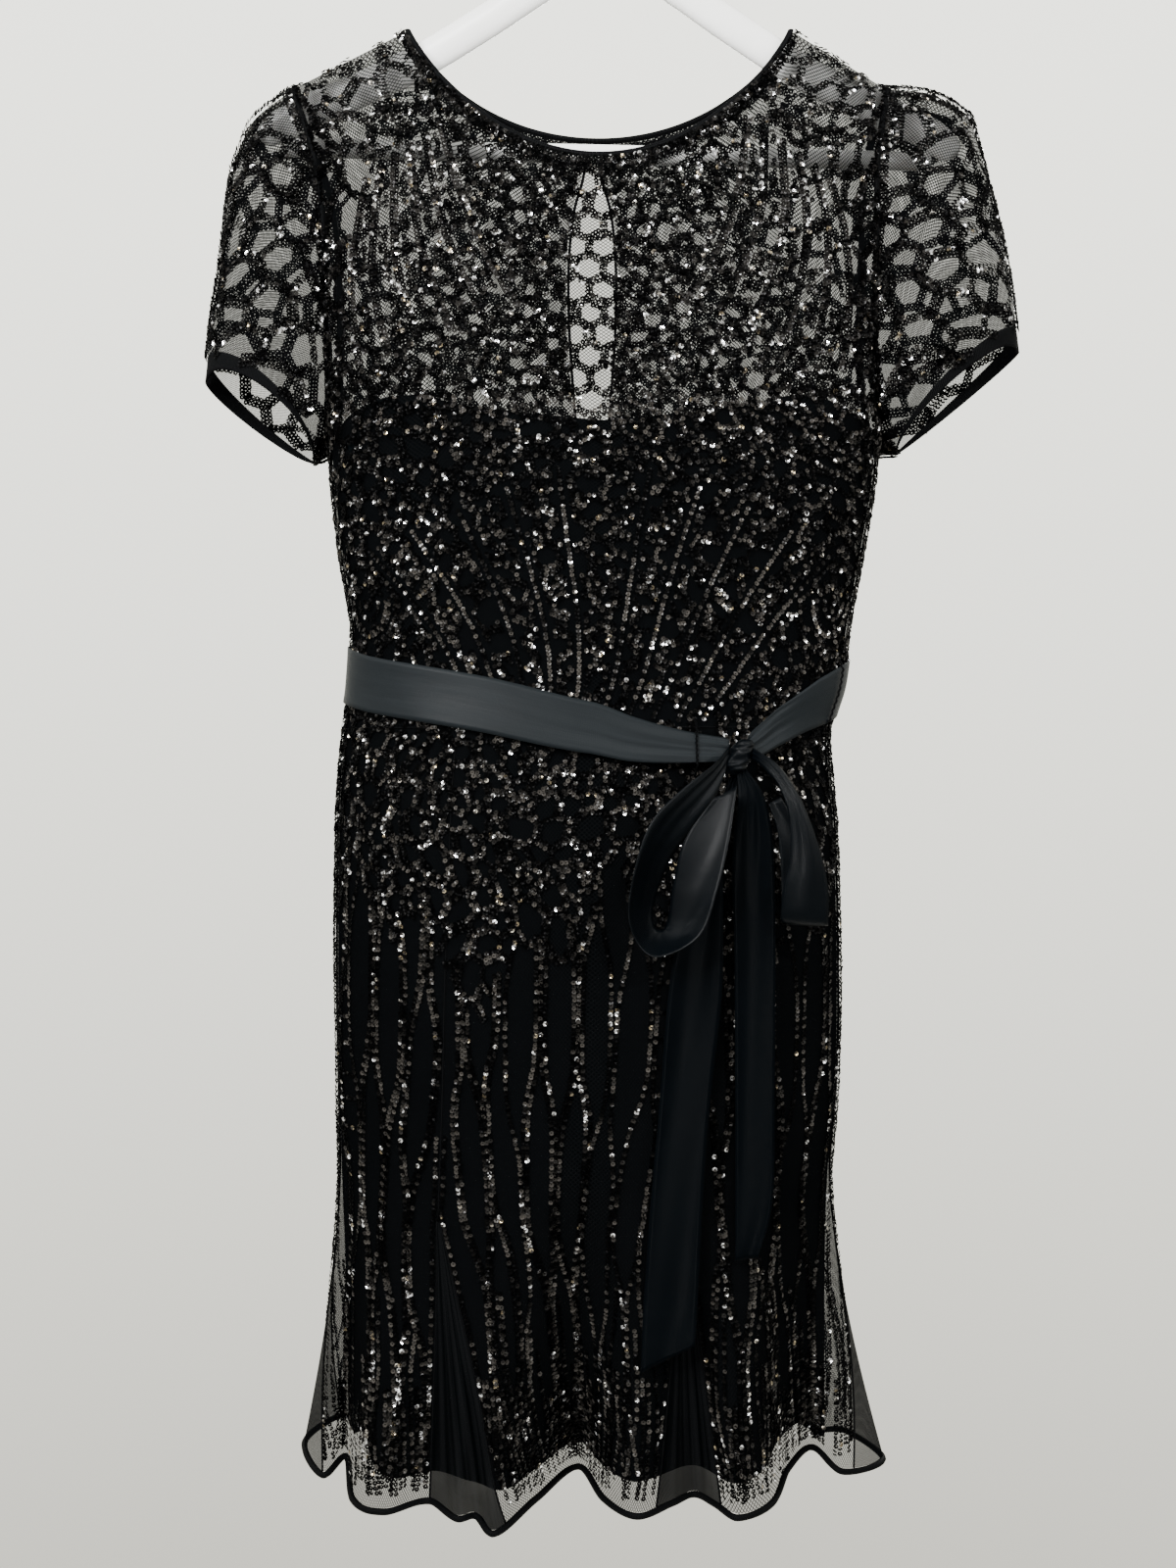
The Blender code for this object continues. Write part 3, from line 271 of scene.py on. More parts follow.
# Ribbon lengths of the bow, a row for each section: one edge and the other edge
BOW_LOOP_LEFT = (
    ((0.0760, -0.0790, -0.5780), (0.0760, -0.0770, -0.5845)),
    ((0.0665, -0.0900, -0.5885), (0.0725, -0.0820, -0.5975)),
    ((0.0451, -0.104, -0.6046), (0.0640, -0.088, -0.6130)),
    ((0.0280, -0.114, -0.6218), (0.0550, -0.090, -0.6260)),
    ((0.0188, -0.118, -0.6456), (0.0406, -0.090, -0.6440)),
    ((0.0143, -0.116, -0.6743), (0.0310, -0.088, -0.6690)),
    ((0.0201, -0.112, -0.6935), (0.0300, -0.090, -0.6840)),
    ((0.0325, -0.111, -0.7010), (0.0350, -0.090, -0.6870)),
    ((0.0560, -0.109, -0.6890), (0.0385, -0.092, -0.6790)),
    ((0.0668, -0.107, -0.6610), (0.0410, -0.094, -0.6600)),
    ((0.0742, -0.102, -0.6310), (0.0480, -0.096, -0.6330)),
    ((0.0790, -0.094, -0.6010), (0.0660, -0.094, -0.6080)),
)
BOW_LOOP_RIGHT = (
    ((0.0888, -0.0775, -0.5843), (0.0888, -0.0755, -0.5772)),
    ((0.0925, -0.0890, -0.5880), (0.0950, -0.0860, -0.5815)),
    ((0.0970, -0.097, -0.5935), (0.1023, -0.095, -0.5871)),
    ((0.1026, -0.102, -0.6010), (0.1095, -0.102, -0.5971)),
    ((0.1085, -0.107, -0.6185), (0.1183, -0.107, -0.6144)),
    ((0.1091, -0.107, -0.6433), (0.1272, -0.106, -0.6393)),
    ((0.1055, -0.104, -0.6626), (0.1324, -0.103, -0.6616)),
    ((0.1045, -0.099, -0.6800), (0.1331, -0.098, -0.6817)),
    ((0.1057, -0.092, -0.6790), (0.1336, -0.091, -0.6812)),
    ((0.1062, -0.090, -0.6589), (0.1304, -0.089, -0.6561)),
    ((0.1040, -0.090, -0.6295), (0.1180, -0.089, -0.6295)),
    ((0.0985, -0.089, -0.6120), (0.1060, -0.088, -0.6080)),
)
BOW_TAIL_RIGHT = (
    ((0.0806, -0.0768, -0.5885), (0.0846, -0.0772, -0.5885)),
    ((0.0812, -0.0820, -0.6088), (0.0950, -0.0835, -0.6040)),
    ((0.0785, -0.0820, -0.6313), (0.1010, -0.0830, -0.6260)),
    ((0.0775, -0.0805, -0.6593), (0.1030, -0.0820, -0.6591)),
    ((0.0790, -0.0800, -0.7033), (0.1039, -0.0800, -0.7033)),
    ((0.0796, -0.0790, -0.7961), (0.1034, -0.0790, -0.7961)),
    ((0.0795, -0.0800, -0.8521), (0.1020, -0.0800, -0.8521)),
    ((0.0793, -0.0820, -0.8883), (0.0929, -0.0820, -0.8859)),
)
BOW_TAIL_LEFT = (
    ((0.0802, -0.0700, -0.5885), (0.0842, -0.0705, -0.5885)),
    ((0.0730, -0.0745, -0.6060), (0.0795, -0.0755, -0.6060)),
    ((0.0625, -0.0790, -0.6296), (0.0728, -0.0800, -0.6295)),
    ((0.0445, -0.0795, -0.6950), (0.0720, -0.0795, -0.6949)),
    ((0.0386, -0.0800, -0.7308), (0.0713, -0.0790, -0.7308)),
    ((0.0339, -0.0810, -0.7902), (0.0648, -0.0790, -0.7902)),
    ((0.0285, -0.0840, -0.8491), (0.0599, -0.0820, -0.8491)),
    ((0.0236, -0.0905, -0.9131), (0.0561, -0.0880, -0.9131)),
    ((0.0218, -0.0985, -0.9499), (0.0542, -0.0930, -0.9355)),
)
# Thread loops that hold the belt: angle, top height, bottom height
BELT_CARRIERS = {"belt_carrier_front": (20.5, -0.5600, -0.5960), "belt_carrier_side": (70, -0.5190, -0.5660)}

# Button at the top of the back slit
BUTTON_RADIUS = 0.0045
BUTTON_THICKNESS = 0.0026
# Its profile, as shares of the radius and of the thickness
BUTTON_PROFILE = ((0, 0.5), (0.45, 0.42), (0.62, 0.30), (0.72, 0.34), (0.92, 0.36), (1, 0.10), (1, -0.20),
                  (0.85, -0.45), (0, -0.5))

# Hanger: middle line of an arm as distance from the middle, height, share of the full section
HANGER_ARM = ((0, -0.0630, 1.0), (0.0220, -0.0675, 1.0), (0.0435, -0.0790, 1.0), (0.0832, -0.1060, 1.0),
              (0.1235, -0.1310, 1.0), (0.1645, -0.1512, 1.0), (0.2061, -0.1702, 1.0),
              (0.2190, -0.1785, 0.85), (0.2265, -0.1855, 0.55))
HANGER_LEAN = 0.0220
ARM_HEIGHT = 0.0225
ARM_THICKNESS = 0.0110
BAR_RADIUS = 0.0060
BAR_Z = -0.1890
BAR_HALF = 0.2094
HOOK_RADIUS = 0.0190
HOOK_WIRE = 0.0030
HOOK_FOOT_Z = -0.0514
HOOK_START_ANGLE = -90
HOOK_TURN = 225

# Bindings and seams: half their thickness, and half the width of the flat ones
NECK_BINDING = (0.0009, 0.0019)
SLIT_BINDING = (0.0007, 0.0010)
SLIT_BINDING_TOP = -0.1725
CUFF_WALL = 0.0011
FACING_INSIDE = 0.0006
HEM_ROLL = 0.0020
HEM_ROLL_DROP = 0.0022
SEAM_RIDGE = 0.0006
ARMHOLE_RIDGE = 0.0021
CARRIER_CORD = 0.0007
CARRIER_TURNS = 12
WELD = 1e-6

# The sequins' pattern. Height of its cells by height on the dress, in metres
CELL_WIDTH = {"front": 0.0120, "back": 0.0140}
CELL_HEIGHTS = ((-1.10, 0.0230), (-0.70, 0.0190), (-0.60, 0.0150), (-0.50, 0.0130), (-0.38, 0.0120),
                (-0.05, 0.0115))
CELL_JITTER = 0.34
HEX_RISE = 0.866
PATTERN_UNIT = 0.012
# Shares of the cells' walls with two rows and with three
WALL_ROWS = {"front": (0.58, 0.32), "back": (0.60, 0.12), "slit": (0.75, 0.25)}
CELLS_END_Z = -0.700
STRING_PITCH = {"front": 0.0118, "back": 0.0150}
TWO_ROWS = {"front": 0.60, "back": 0.42}
STRING_TOP_Z = -0.640
STRING_END_Z = -1.024
STRING_WAVE = 0.21
GATHER_Z = -0.885
GATHER_REACH = 0.085
RUNG_STEP = 0.017
RUNG_SHARE = 0.24
HALF_STRINGS = 0.6
STRING_POINTS = 120
ROW_PITCH = 0.0025
LINE_CLEARANCE = 0.0042
SLIT_CELL = 0.0165
SLEEVE_CELL = 0.0195
SLEEVE_SEEDS = 4000
YOKE_END_Z = -0.36
SEEDS = {"front": 41, "back": 42, "left": 51, "right": 52}

# Shades of sequins from 0 to 1: black at 0, and above it painted sheen and painted glints; the bright glints
# start at DARK_SHADES and come in runs along a string
RUN_LENGTH = 8
LIT_RUNS = 0.13
LIT_CHANCE = 0.34
DARK_CHANCE = 0.012
COATED_SHADES = 0.60
DARK_SHADES = 0.93
DULL_SHADES = 0.92
# painted sheen: every other sequin along a string lighter and the ones between darker, as their rims catch
# the light
ALTERNATE_SHEEN = 0.13
# painted sheen: how much lighter the dark tones are on the single strings and on the skirt's strings
SINGLE_BRIGHTER = 0.20
SKIRT_BRIGHTER = 0.05
# painted shade: how much darker the dark sequins are made on the yoke and the sleeves, where they are seen
# against the light, and below the lining and along the sides
YOKE_BACKLIT_SHADE = 0.74
SHEER_AND_SIDE_SHADE = 0.50
SIDE_SINE = 0.93
YOKE_SIZE = 1.13
# painted crescent highlight: on a bright sequin, faces beyond CRESCENT_EDGE from the drawn direction get
# CRESCENT_SHADE
CRESCENT_EDGE = -0.35
CRESCENT_SHADE = 0.80
# Colours along the shades: the sequins' own black, then painted brown-grey sheen, a painted gold glint and a
# painted white glint
SEQUIN_STOPS = ((0.0, (0.0003, 0.0003, 0.0004)), (0.50, (0.0006, 0.0006, 0.0006)),
                (0.66, (0.0095, 0.0088, 0.0081)), (0.925, (0.0320, 0.0290, 0.0255)),
                (0.94, (0.36, 0.29, 0.18)), (0.958, (0.92, 0.92, 0.94)))
NET_THREAD = (0.0030, 0.0032, 0.0035)
# how far the bow's streaks of painted sheen are drawn out along it
BOW_STREAK_STRETCH = 34.0
FACING_DEPTH = 0.0120
SEQUIN_RADIUS = 0.0016
SEQUIN_HOLE = 0.00042
SEQUIN_CUP = 0.00042
SEQUIN_STEP = 0.0026
SEQUIN_LIFT = 0.0007


def curve_through(table, value, column):
    """A smooth curve through one column of a table whose first column rises."""
    keys = np.array([row[0] for row in table], float)
    heights = np.array([row[column] for row in table], float)
    value = np.clip(np.asarray(value, float), keys[0], keys[-1])
    row = np.clip(np.searchsorted(keys, value, side="right") - 1, 0, len(keys) - 2)
    before, after = np.maximum(row - 1, 0), np.minimum(row + 2, len(keys) - 1)
    width = keys[row + 1] - keys[row]
    step = (value - keys[row]) / width
    rise_in = (heights[row + 1] - heights[before]) / (keys[row + 1] - keys[before]) * width
    rise_out = (heights[after] - heights[row]) / (keys[after] - keys[row]) * width
    return (heights[row] * (2 * step ** 3 - 3 * step ** 2 + 1)
            + heights[row + 1] * (3 * step ** 2 - 2 * step ** 3)
            + rise_in * (step ** 3 - 2 * step ** 2 + step)
            + rise_out * (step ** 3 - step ** 2))


def unit(rows):
    """Directions, each made one long."""
    return rows / np.maximum(np.linalg.norm(rows, axis=-1, keepdims=True), 1e-30)


def square_to(ahead, rows):
    """What is left of directions when nothing of them points ahead."""
    return rows - ahead * (rows * ahead).sum(-1, keepdims=True)


def metres_along(line):
    """How far each point of a line is from its start."""
    return np.concatenate([[0], np.cumsum(np.linalg.norm(np.diff(line, axis=0), axis=1))])


def closed_round(table):
    """The rows with one turn's neighbours at each end, so that the curve closes."""
    before = [(row[0] - 360,) + row[1:] for row in table[-2:]]
    after = [(row[0] + 360,) + row[1:] for row in table[:3]]
    return tuple(before) + table + tuple(after)


CLOSED_HEM = closed_round(HEM)
CLOSED_LINING = closed_round(LINING_FOLDS)


def turn(angle):
    """The same angle within the hem table's turn."""
    return (np.asarray(angle, float) - HEM_FIRST_ANGLE) % 360 + HEM_FIRST_ANGLE


def neck_share(x):
    return (x - NECK_MIDDLE_X) / NECK_HALF


def shoulder_height(x):
    """Height of the shoulder line, and of its bow across the neck."""
    bow = NECK_POINT_Z + NECK_BOW * (1 - neck_share(x) ** 2)
    neck = np.where(x < 0, NECK_LEFT_X, NECK_RIGHT_X)
    end = np.where(x < 0, BODY[-1][1], BODY[-1][2])
    beyond = NECK_POINT_Z + np.minimum(1, (x - neck) / (end - neck)) * (SHOULDER_END_Z - NECK_POINT_Z)
    return np.where(np.abs(neck_share(x)) < 1, bow, beyond)


def neck_height(x, drop):
    """Height of the neck edge at x, or of the shoulder beyond it."""
    inside = np.maximum(0, 1 - neck_share(x) ** 2)
    return np.where(inside > 0, NECK_POINT_Z - drop * inside ** NECK_CURVE, shoulder_height(x))


def armhole_depth(z, full):
    share = np.clip((z - UNDERARM_Z) / (SHOULDER_END_Z - UNDERARM_Z), 0, 1)
    return full * np.sqrt(1 - (1 - 2 * share) ** 2)


def plain_body(angle, z):
    """Points of the body with no folds."""
    angle, z = np.broadcast_arrays(np.asarray(angle, float), np.asarray(z, float))
    left, right, front, back = (curve_through(BODY, z, column) for column in (1, 2, 3, 4))
    sine, cosine = np.sin(np.radians(angle)), np.cos(np.radians(angle))
    x = (left + right) / 2 + (right - left) / 2 * np.sign(sine) * np.abs(sine) ** (2 / ROUNDNESS)
    share = np.abs(cosine) ** (2 / ROUNDNESS)
    full = np.where(cosine > 0, front, back)
    below = np.clip((shoulder_height(x) - z) / SHOULDER_ROLL, 0, 1)
    edge = armhole_depth(z, np.where(cosine > 0, ARMHOLE_FRONT, ARMHOLE_BACK))
    rolled = edge * (1 - share) + full * np.sqrt(1 - (1 - below) ** 2) * share
    depth = np.where(z > UNDERARM_Z, rolled, full * share)
    return np.stack([x, np.where(cosine > 0, -depth, depth), z], -1)


def hem_height(angle):
    return curve_through(CLOSED_HEM, turn(angle), 3)


def fold_growth(z):
    """How much of a hem fold stands at a height."""
    return (np.maximum(0, FOLD_START_Z - z) / (FOLD_START_Z - HEM_Z)) ** FOLD_GROWTH


def hem_place(table, angle):
    across, depth = (curve_through(table, turn(angle), column) for column in (1, 2))
    return np.stack([across, depth, np.full_like(across, HEM_Z)], -1)


def skirt_z(angle, share):
    return WAIST_Z + share * (hem_height(angle) - WAIST_Z)


def skirt_share(angle, z):
    return (z - WAIST_Z) / (hem_height(angle) - WAIST_Z)


def skirt_point(angle, share):
    """Points of the skirt a share of the way down, with the folds of the hem."""
    z = skirt_z(angle, share)
    move = hem_place(CLOSED_HEM, angle) - plain_body(angle, HEM_Z)
    return plain_body(angle, z) + move * fold_growth(z)[..., None]


def outward(surface, across, along, step=0.6, rise=0.004):
    """Directions out of a surface of an angle and a height."""
    wide = surface(across + step, along) - surface(across - step, along)
    tall = surface(across, along + rise) - surface(across, along - rise)
    return unit(np.cross(wide, tall))


def lined_point(angle, z):
    """Points of the lining, closest to the shell at the waist seam that holds it."""
    away = np.minimum(1, np.abs(z - WAIST_Z) / LINING_SEAM_REACH)
    depth = LINING_SEAM_DEPTH + (LINING_DEPTH - LINING_SEAM_DEPTH) * away
    return plain_body(angle, z) - outward(plain_body, angle, z) * depth[..., None]


def lining_skirt_point(angle, share):
    z = skirt_z(angle, share)
    move = hem_place(CLOSED_LINING, angle) - lined_point(angle, np.full_like(z, HEM_Z))
    return lined_point(angle, z) + move * fold_growth(z)[..., None]


def dress_point(angle, z):
    """Points of the shell at any height from the hem to the shoulder."""
    share = np.maximum(skirt_share(angle, z), 0)
    return np.where((z > WAIST_Z)[..., None], plain_body(angle, z), skirt_point(angle, share))


def seam_angle(seam, share):
    waist, top_angle, hem_angle, top, _ = SKIRT_SEAMS[seam]
    above = waist + (top_angle - waist) * share / top
    below = top_angle + (hem_angle - top_angle) * (share - top) / (1 - top)
    return np.where(share <= top, above, below)


def godet_half(seam, share):
    """Half the godet's angle at a share of the way down, and nothing above its tip."""
    top, half = SKIRT_SEAMS[seam][3:]
    grown = GODET_TIP_HALF + (half - GODET_TIP_HALF) * (share - top) / (1 - top)
    return np.where(share < top - 1e-6, 0.0, grown)


def gore_edges(left, right, share):
    """Angles of the two edges of a gore, beside the godets in its seams."""
    first = seam_angle(left, share) + godet_half(left, share)
    last = seam_angle(right, share) - godet_half(right, share)
    return first, np.where(last < first, last + 360, last)


def slit_half(z):
    return np.where(z > BACK_SLIT[0][0], curve_through(BACK_SLIT, z, 1), BACK_SLIT[0][1])


def angle_at(x, z, back):
    """Angle of the body's point that is x across."""
    left, right = curve_through(BODY, z, 1), curve_through(BODY, z, 2)
    share = np.clip((x - (left + right) / 2) / ((right - left) / 2), -1, 1)
    lean = np.degrees(np.arcsin(np.abs(share) ** (ROUNDNESS / 2))) * np.sign(share)
    return 180 - lean if back else lean


def slit_angle(z, side):
    return angle_at(SLIT_X + side * slit_half(z), z, True)


def neck_top(drop, x_at):
    """Heights where columns meet the neck edge or the shoulder, when x_at says how far across they are."""
    z = np.full_like(x_at(SHOULDER_END_Z), SHOULDER_END_Z)
    for _ in range(14):
        z = neck_height(x_at(z), drop)
    return z


def column_top(angles, drop):
    return neck_top(drop, lambda z: plain_body(angles, z)[..., 0])


def eased(share):
    """Shares that lie closer together at both ends."""
    return (1 - np.cos(np.pi * share)) / 2


def neck_line(word, share):
    """Angles and heights along the neck edge of a side."""
    first, drop = NECK_SIDES[word]
    angles = first + NECK_TURN * share
    return angles, column_top(angles, drop)


class Channel:
    """A socket of a material, so that its sums read as plain expressions."""

    def __init__(self, tree, socket=None):
        self.tree, self.socket = tree, socket

    def node(self, kind, settings=(), sockets=(), output=0):
        """A new node with its settings made first and its sockets fed with numbers or links."""
        made = self.tree.nodes.new(kind)
        for name, value in dict(settings).items():
            if name == "stops":
                ramp = made.color_ramp
                while len(ramp.elements) < len(value):
                    ramp.elements.new(0.5)
                for element, (position, colour) in zip(ramp.elements, value):
                    element.position, element.color = position, (*colour, 1)
            else:
                setattr(made, name, value)
        for key, value in dict(sockets).items():
            self.feed(made.inputs[key], value)
        return Channel(self.tree, made.outputs[output])

    def feed(self, target, value):
        if isinstance(value, Channel):
            self.tree.links.new(value.socket, target)
        else:
            target.default_value = value

    def maths(self, operation, *values):
        return self.node("ShaderNodeMath", {"operation": operation}, enumerate(values))

    def __add__(self, other):
        return self.maths("ADD", self, other)

    def __radd__(self, other):
        return self.maths("ADD", other, self)

    def __sub__(self, other):
        return self.maths("SUBTRACT", self, other)

    def __rsub__(self, other):
        return self.maths("SUBTRACT", other, self)

    def __mul__(self, other):
        return self.maths("MULTIPLY", self, other)

    def __rmul__(self, other):
        return self.maths("MULTIPLY", other, self)

    def __truediv__(self, other):
        return self.maths("DIVIDE", self, other)

    def __lt__(self, other):
        return self.maths("LESS_THAN", self, other)

    def __gt__(self, other):
        return self.maths("GREATER_THAN", self, other)

    def __abs__(self):
        return self.maths("ABSOLUTE", self)


def start_material(name, **fixed):
    """A material with a Principled shader, and a channel for its tree."""
    made = bpy.data.materials.new(name)
    made.use_nodes = True
    shader = made.node_tree.nodes["Principled BSDF"]
    for key, value in fixed.items():
        shader.inputs[key.replace("_", " ")].default_value = value
    return made, shader, Channel(made.node_tree)


def tint(base, mask, low, high):
    """A colour between two, by a mask."""
    return base.node("ShaderNodeMix", {"data_type": "RGBA"},
                     {"Factor": mask, "A": (*low, 1), "B": (*high, 1)}, output=2)


def bump(base, height, distance, strength):
    return base.node("ShaderNodeBump", (), {"Height": height, "Distance": distance, "Strength": strength})


def noise(base, scale, detail, place=None, **more):
    """Clouds through the piece's own space, or over a place that is given."""
    place = place or base.node("ShaderNodeTexCoord", (), (), output=3)
    return base.node("ShaderNodeTexNoise", (), {"Scale": scale, "Detail": detail, "Vector": place, **more})


def cloth_axes(base):
    """The cloth's own two directions in metres, from the piece's UV map."""
    split = base.node("ShaderNodeUVMap", {"uv_map": "cloth"})
    split = base.node("ShaderNodeSeparateXYZ", (), {0: split})
    return split, Channel(base.tree, split.socket.node.outputs[1])


def threads(across, pitch, width):
    """1 on evenly spaced threads and 0 in the gaps between them."""
    step = across * (1 / pitch)
    return abs(step.maths("FRACT", step) - 0.5) > 0.5 - width


def net_material(name, cover, open_cover, pitch, colour, folds=0.0):
    """Fine net: two slanted sets of threads, with a little of the light stopped between them."""
    made, shader, base = start_material(name, Roughness=0.62, Specular_IOR_Level=0.0)
    u, v = cloth_axes(base)
    one = threads(u * 0.82 + v * 0.57, pitch, 0.15)
    other = threads(u * 0.82 - v * 0.57, pitch, 0.15)
    woven = one.maths("MAXIMUM", one, other)
    flecks = noise(base, 26.0, 3.0)
    base.feed(shader.inputs["Alpha"], open_cover + woven * (cover - open_cover) + (flecks - 0.5) * 0.10)
    shown = woven * 0.5 + flecks * 0.3
    # painted highlights: streaks along the net stand in for the lit sides of soft folds that the mesh does
    # not have
    if folds:  # the sides of soft folds that face the light
        drawn = base.node("ShaderNodeCombineXYZ", (), {0: u * 90.0, 1: v * 5.0})
        shown = shown + (noise(base, 1.0, 1.0, drawn) - 0.45) * folds
    base.feed(shader.inputs["Base Color"], tint(base, shown, colour, NET_THREAD))
    return made


def lining_material():
    made, shader, base = start_material("lining_crepe", Roughness=0.78, Specular_IOR_Level=0.0)
    u, v = cloth_axes(base)
    weave = threads(u, 0.0009, 0.25) * 0.5 + threads(v, 0.0009, 0.25) * 0.5
    clouds = noise(base, 9.0, 4.0)
    colour = tint(base, clouds, (0.0012, 0.0019, 0.0023), (0.0030, 0.0042, 0.0049))
    base.feed(shader.inputs["Base Color"], colour)
    base.feed(shader.inputs["Normal"], bump(base, weave + clouds * 2.0, 0.00012, 0.6))
    return made


def satin_material(name, low, high, roughness, gloss, streak_stretch=160.0):
    """Ribbon with fine ribs, and streaks drawn out along it: painted sheen in its colour, and the same
    streaks in its roughness and bumps.
    """
    made, shader, base = start_material(name, Specular_IOR_Level=gloss)
    u, v = cloth_axes(base)
    stretched = base.node("ShaderNodeCombineXYZ", (), {0: u * 14.0, 1: v * streak_stretch})
    clouds = noise(base, 1.0, 5.0, stretched, Roughness=0.6)
    ribs = threads(u, 0.0006, 0.25)
    # painted sheen: lighter and darker streaks along the ribbon, as satin catches the light
    base.feed(shader.inputs["Base Color"], tint(base, clouds, low, high))
    base.feed(shader.inputs["Roughness"], clouds * 0.16 + roughness)
    base.feed(shader.inputs["Normal"], bump(base, clouds * 3.0 + ribs * 0.4, 0.00016, 0.45))
    return made


def binding_material(name, alpha):
    made, shader, base = start_material(name, Roughness=0.8, Specular_IOR_Level=0.01)
    u, v = cloth_axes(base)
    width = 0.30 if alpha == 1 else 0.14
    ribs = threads(u, 0.0011, width)
    cross = threads(v, 0.0009, width)
    colour = tint(base, ribs * 0.6 + cross * 0.4, (0.0008, 0.0009, 0.0010), (0.0050, 0.0052, 0.0056))
    base.feed(shader.inputs["Base Color"], colour)
    base.feed(shader.inputs["Normal"], bump(base, ribs + cross, 0.00018, 0.7))
    if alpha < 1:  # see-through between its ribs
        base.feed(shader.inputs["Alpha"], ribs.maths("MAXIMUM", ribs, cross) * (1 - alpha) + alpha)
    return made


def sequin_material():
    """Glossy black cups: most are black or brown, some gold, and a few as bright as a mirror; the brown,
    gold and mirror-bright colours are painted sheen and painted glints.
    """
    made, shader, base = start_material("sequins", Coat_Roughness=0.12, Coat_IOR=1.35,
                                        Specular_IOR_Level=0.02)
    shade = base.node("ShaderNodeAttribute", {"attribute_name": "shade"}, (), output=2)
    colour = base.node("ShaderNodeValToRGB", {"stops": SEQUIN_STOPS}, {0: shade})
    base.feed(shader.inputs["Base Color"], colour)
    base.feed(shader.inputs["Metallic"], (shade > DARK_SHADES) * 0.9)
    base.feed(shader.inputs["Roughness"], 0.30 - (shade > DARK_SHADES) * 0.12)
    base.feed(shader.inputs["Coat Weight"], (shade > COATED_SHADES) * 0.42)
    return made


def thread_material():
    made, shader, base = start_material("black_thread", Roughness=0.7, Specular_IOR_Level=0.03)
    u, v = cloth_axes(base)
    twist = threads(u + v * 0.6, 0.0010, 0.25)
    colour = tint(base, twist, (0.0005, 0.0006, 0.0007), (0.0020, 0.0022, 0.0025))
    base.feed(shader.inputs["Base Color"], colour)
    base.feed(shader.inputs["Normal"], bump(base, twist, 0.0003, 0.8))
    return made


def plastic_material():
    made, shader, base = start_material("white_plastic", Specular_IOR_Level=0.5, Coat_Weight=0.25,
                                        Coat_Roughness=0.12)
    clouds = noise(base, 30.0, 4.0)
    base.feed(shader.inputs["Base Color"], tint(base, clouds, (0.80, 0.80, 0.77), (0.88, 0.88, 0.86)))
    base.feed(shader.inputs["Roughness"], clouds * 0.14 + 0.24)
    base.feed(shader.inputs["Normal"], bump(base, noise(base, 700.0, 2.0) + clouds * 2.0, 0.00008, 0.4))
    return made


def button_material():
    made, shader, base = start_material("black_button", Coat_Weight=0.15, Coat_Roughness=0.08,
                                        Specular_IOR_Level=0.2)
    clouds = noise(base, 400.0, 3.0)
    colour = tint(base, clouds, (0.0010, 0.0010, 0.0011), (0.0040, 0.0038, 0.0038))
    base.feed(shader.inputs["Base Color"], colour)
    base.feed(shader.inputs["Roughness"], clouds * 0.2 + 0.15)
    return made


# Finishes: material and slot
FINISHES = {
    "net": (net_material("sequin_net", 0.92, 0.42, 0.0016, (0.0006, 0.0007, 0.0008)), "sequin_net"),
    "plain_net": (net_material("godet_net", 0.96, 0.66, 0.0013, (0.0007, 0.0009, 0.0010)), "plain_net"),
    # the front and back godets' net, with painted fold highlights
    "fold_sheen_net": (net_material("godet_fold_sheen_net", 1.0, 0.95, 0.0013, (0.0005, 0.0007, 0.0008), 5.0),
                 "plain_net"),
    "lining": (lining_material(), "lining"),
    # One black satin three times: painted light makes the belt lighter, where it faces the lamps, and
    # painted shade makes the bow's loops darker and its tails darker still, where they hang away from the
    # light
    "satin": (satin_material("belt_satin_painted_light", (0.0042, 0.0054, 0.0063), (0.0084, 0.0104, 0.0118),
                             0.34, 0.06), "satin"),
    "bow": (satin_material("bow_satin", (0.0002, 0.0004, 0.0007), (0.0012, 0.0021, 0.0030),
                           0.28, 0.075, BOW_STREAK_STRETCH), "satin"),
    "tail": (satin_material("tail_satin_painted_shade", (0.0002, 0.0005, 0.0008), (0.0008, 0.0014, 0.0020),
                            0.30, 0.018, BOW_STREAK_STRETCH), "satin"),
    "binding": (binding_material("net_binding", 1), "binding"),
    "facing": (binding_material("net_facing", 0.30), "binding"),
    "thread": (thread_material(), "binding"),
    "sequins": (sequin_material(), "sequin_net"),
    "plastic": (plastic_material(), "hanger_white"),
    "button": (button_material(), "button"),
}


def add_piece(name, mesh, finish, replaced=(), smooth=True):
    """A mesh as a piece of the dress that rides on the body and stands for its solids."""
    made = bpy.data.objects.new(name, mesh)
    bpy.context.scene.collection.objects.link(made)
    material, slot = FINISHES[finish]
    mesh.materials.append(material)
    if smooth:
        mesh.shade_smooth()
    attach(made, "root")
    if replaced:
        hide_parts(*replaced)
    return made


def finish_mesh(name, shape):
    mesh = bpy.data.meshes.new(name)
    shape.to_mesh(mesh)
    shape.free()
    return mesh


def lay_uv(shape, measure):
    """The cloth's UV map in metres, worked out from the place of each corner."""
    cloth = shape.loops.layers.uv.new("cloth")
    for face in shape.faces:
        for loop in face.loops:
            loop[cloth].uv = measure(loop.vert.co)


def flat_grid(columns, rows, size):
    """A flat grid with its UV map, and how far across and how far up its vertices are."""
    shape = bmesh.new()
    bmesh.ops.create_grid(shape, x_segments=columns, y_segments=rows, size=0.5)
    lay_uv(shape, lambda place: ((place.x + 0.5) * size[0], (place.y + 0.5) * size[1]))
    across, along = (np.array([vertex.co[axis] for vertex in shape.verts]) + 0.5 for axis in (0, 1))
    return shape, across, along


def put(shape, points):
    for vertex, point in zip(shape.verts, points):
        vertex.co = point


def weld(shape):
    bmesh.ops.remove_doubles(shape, verts=shape.verts, dist=WELD)


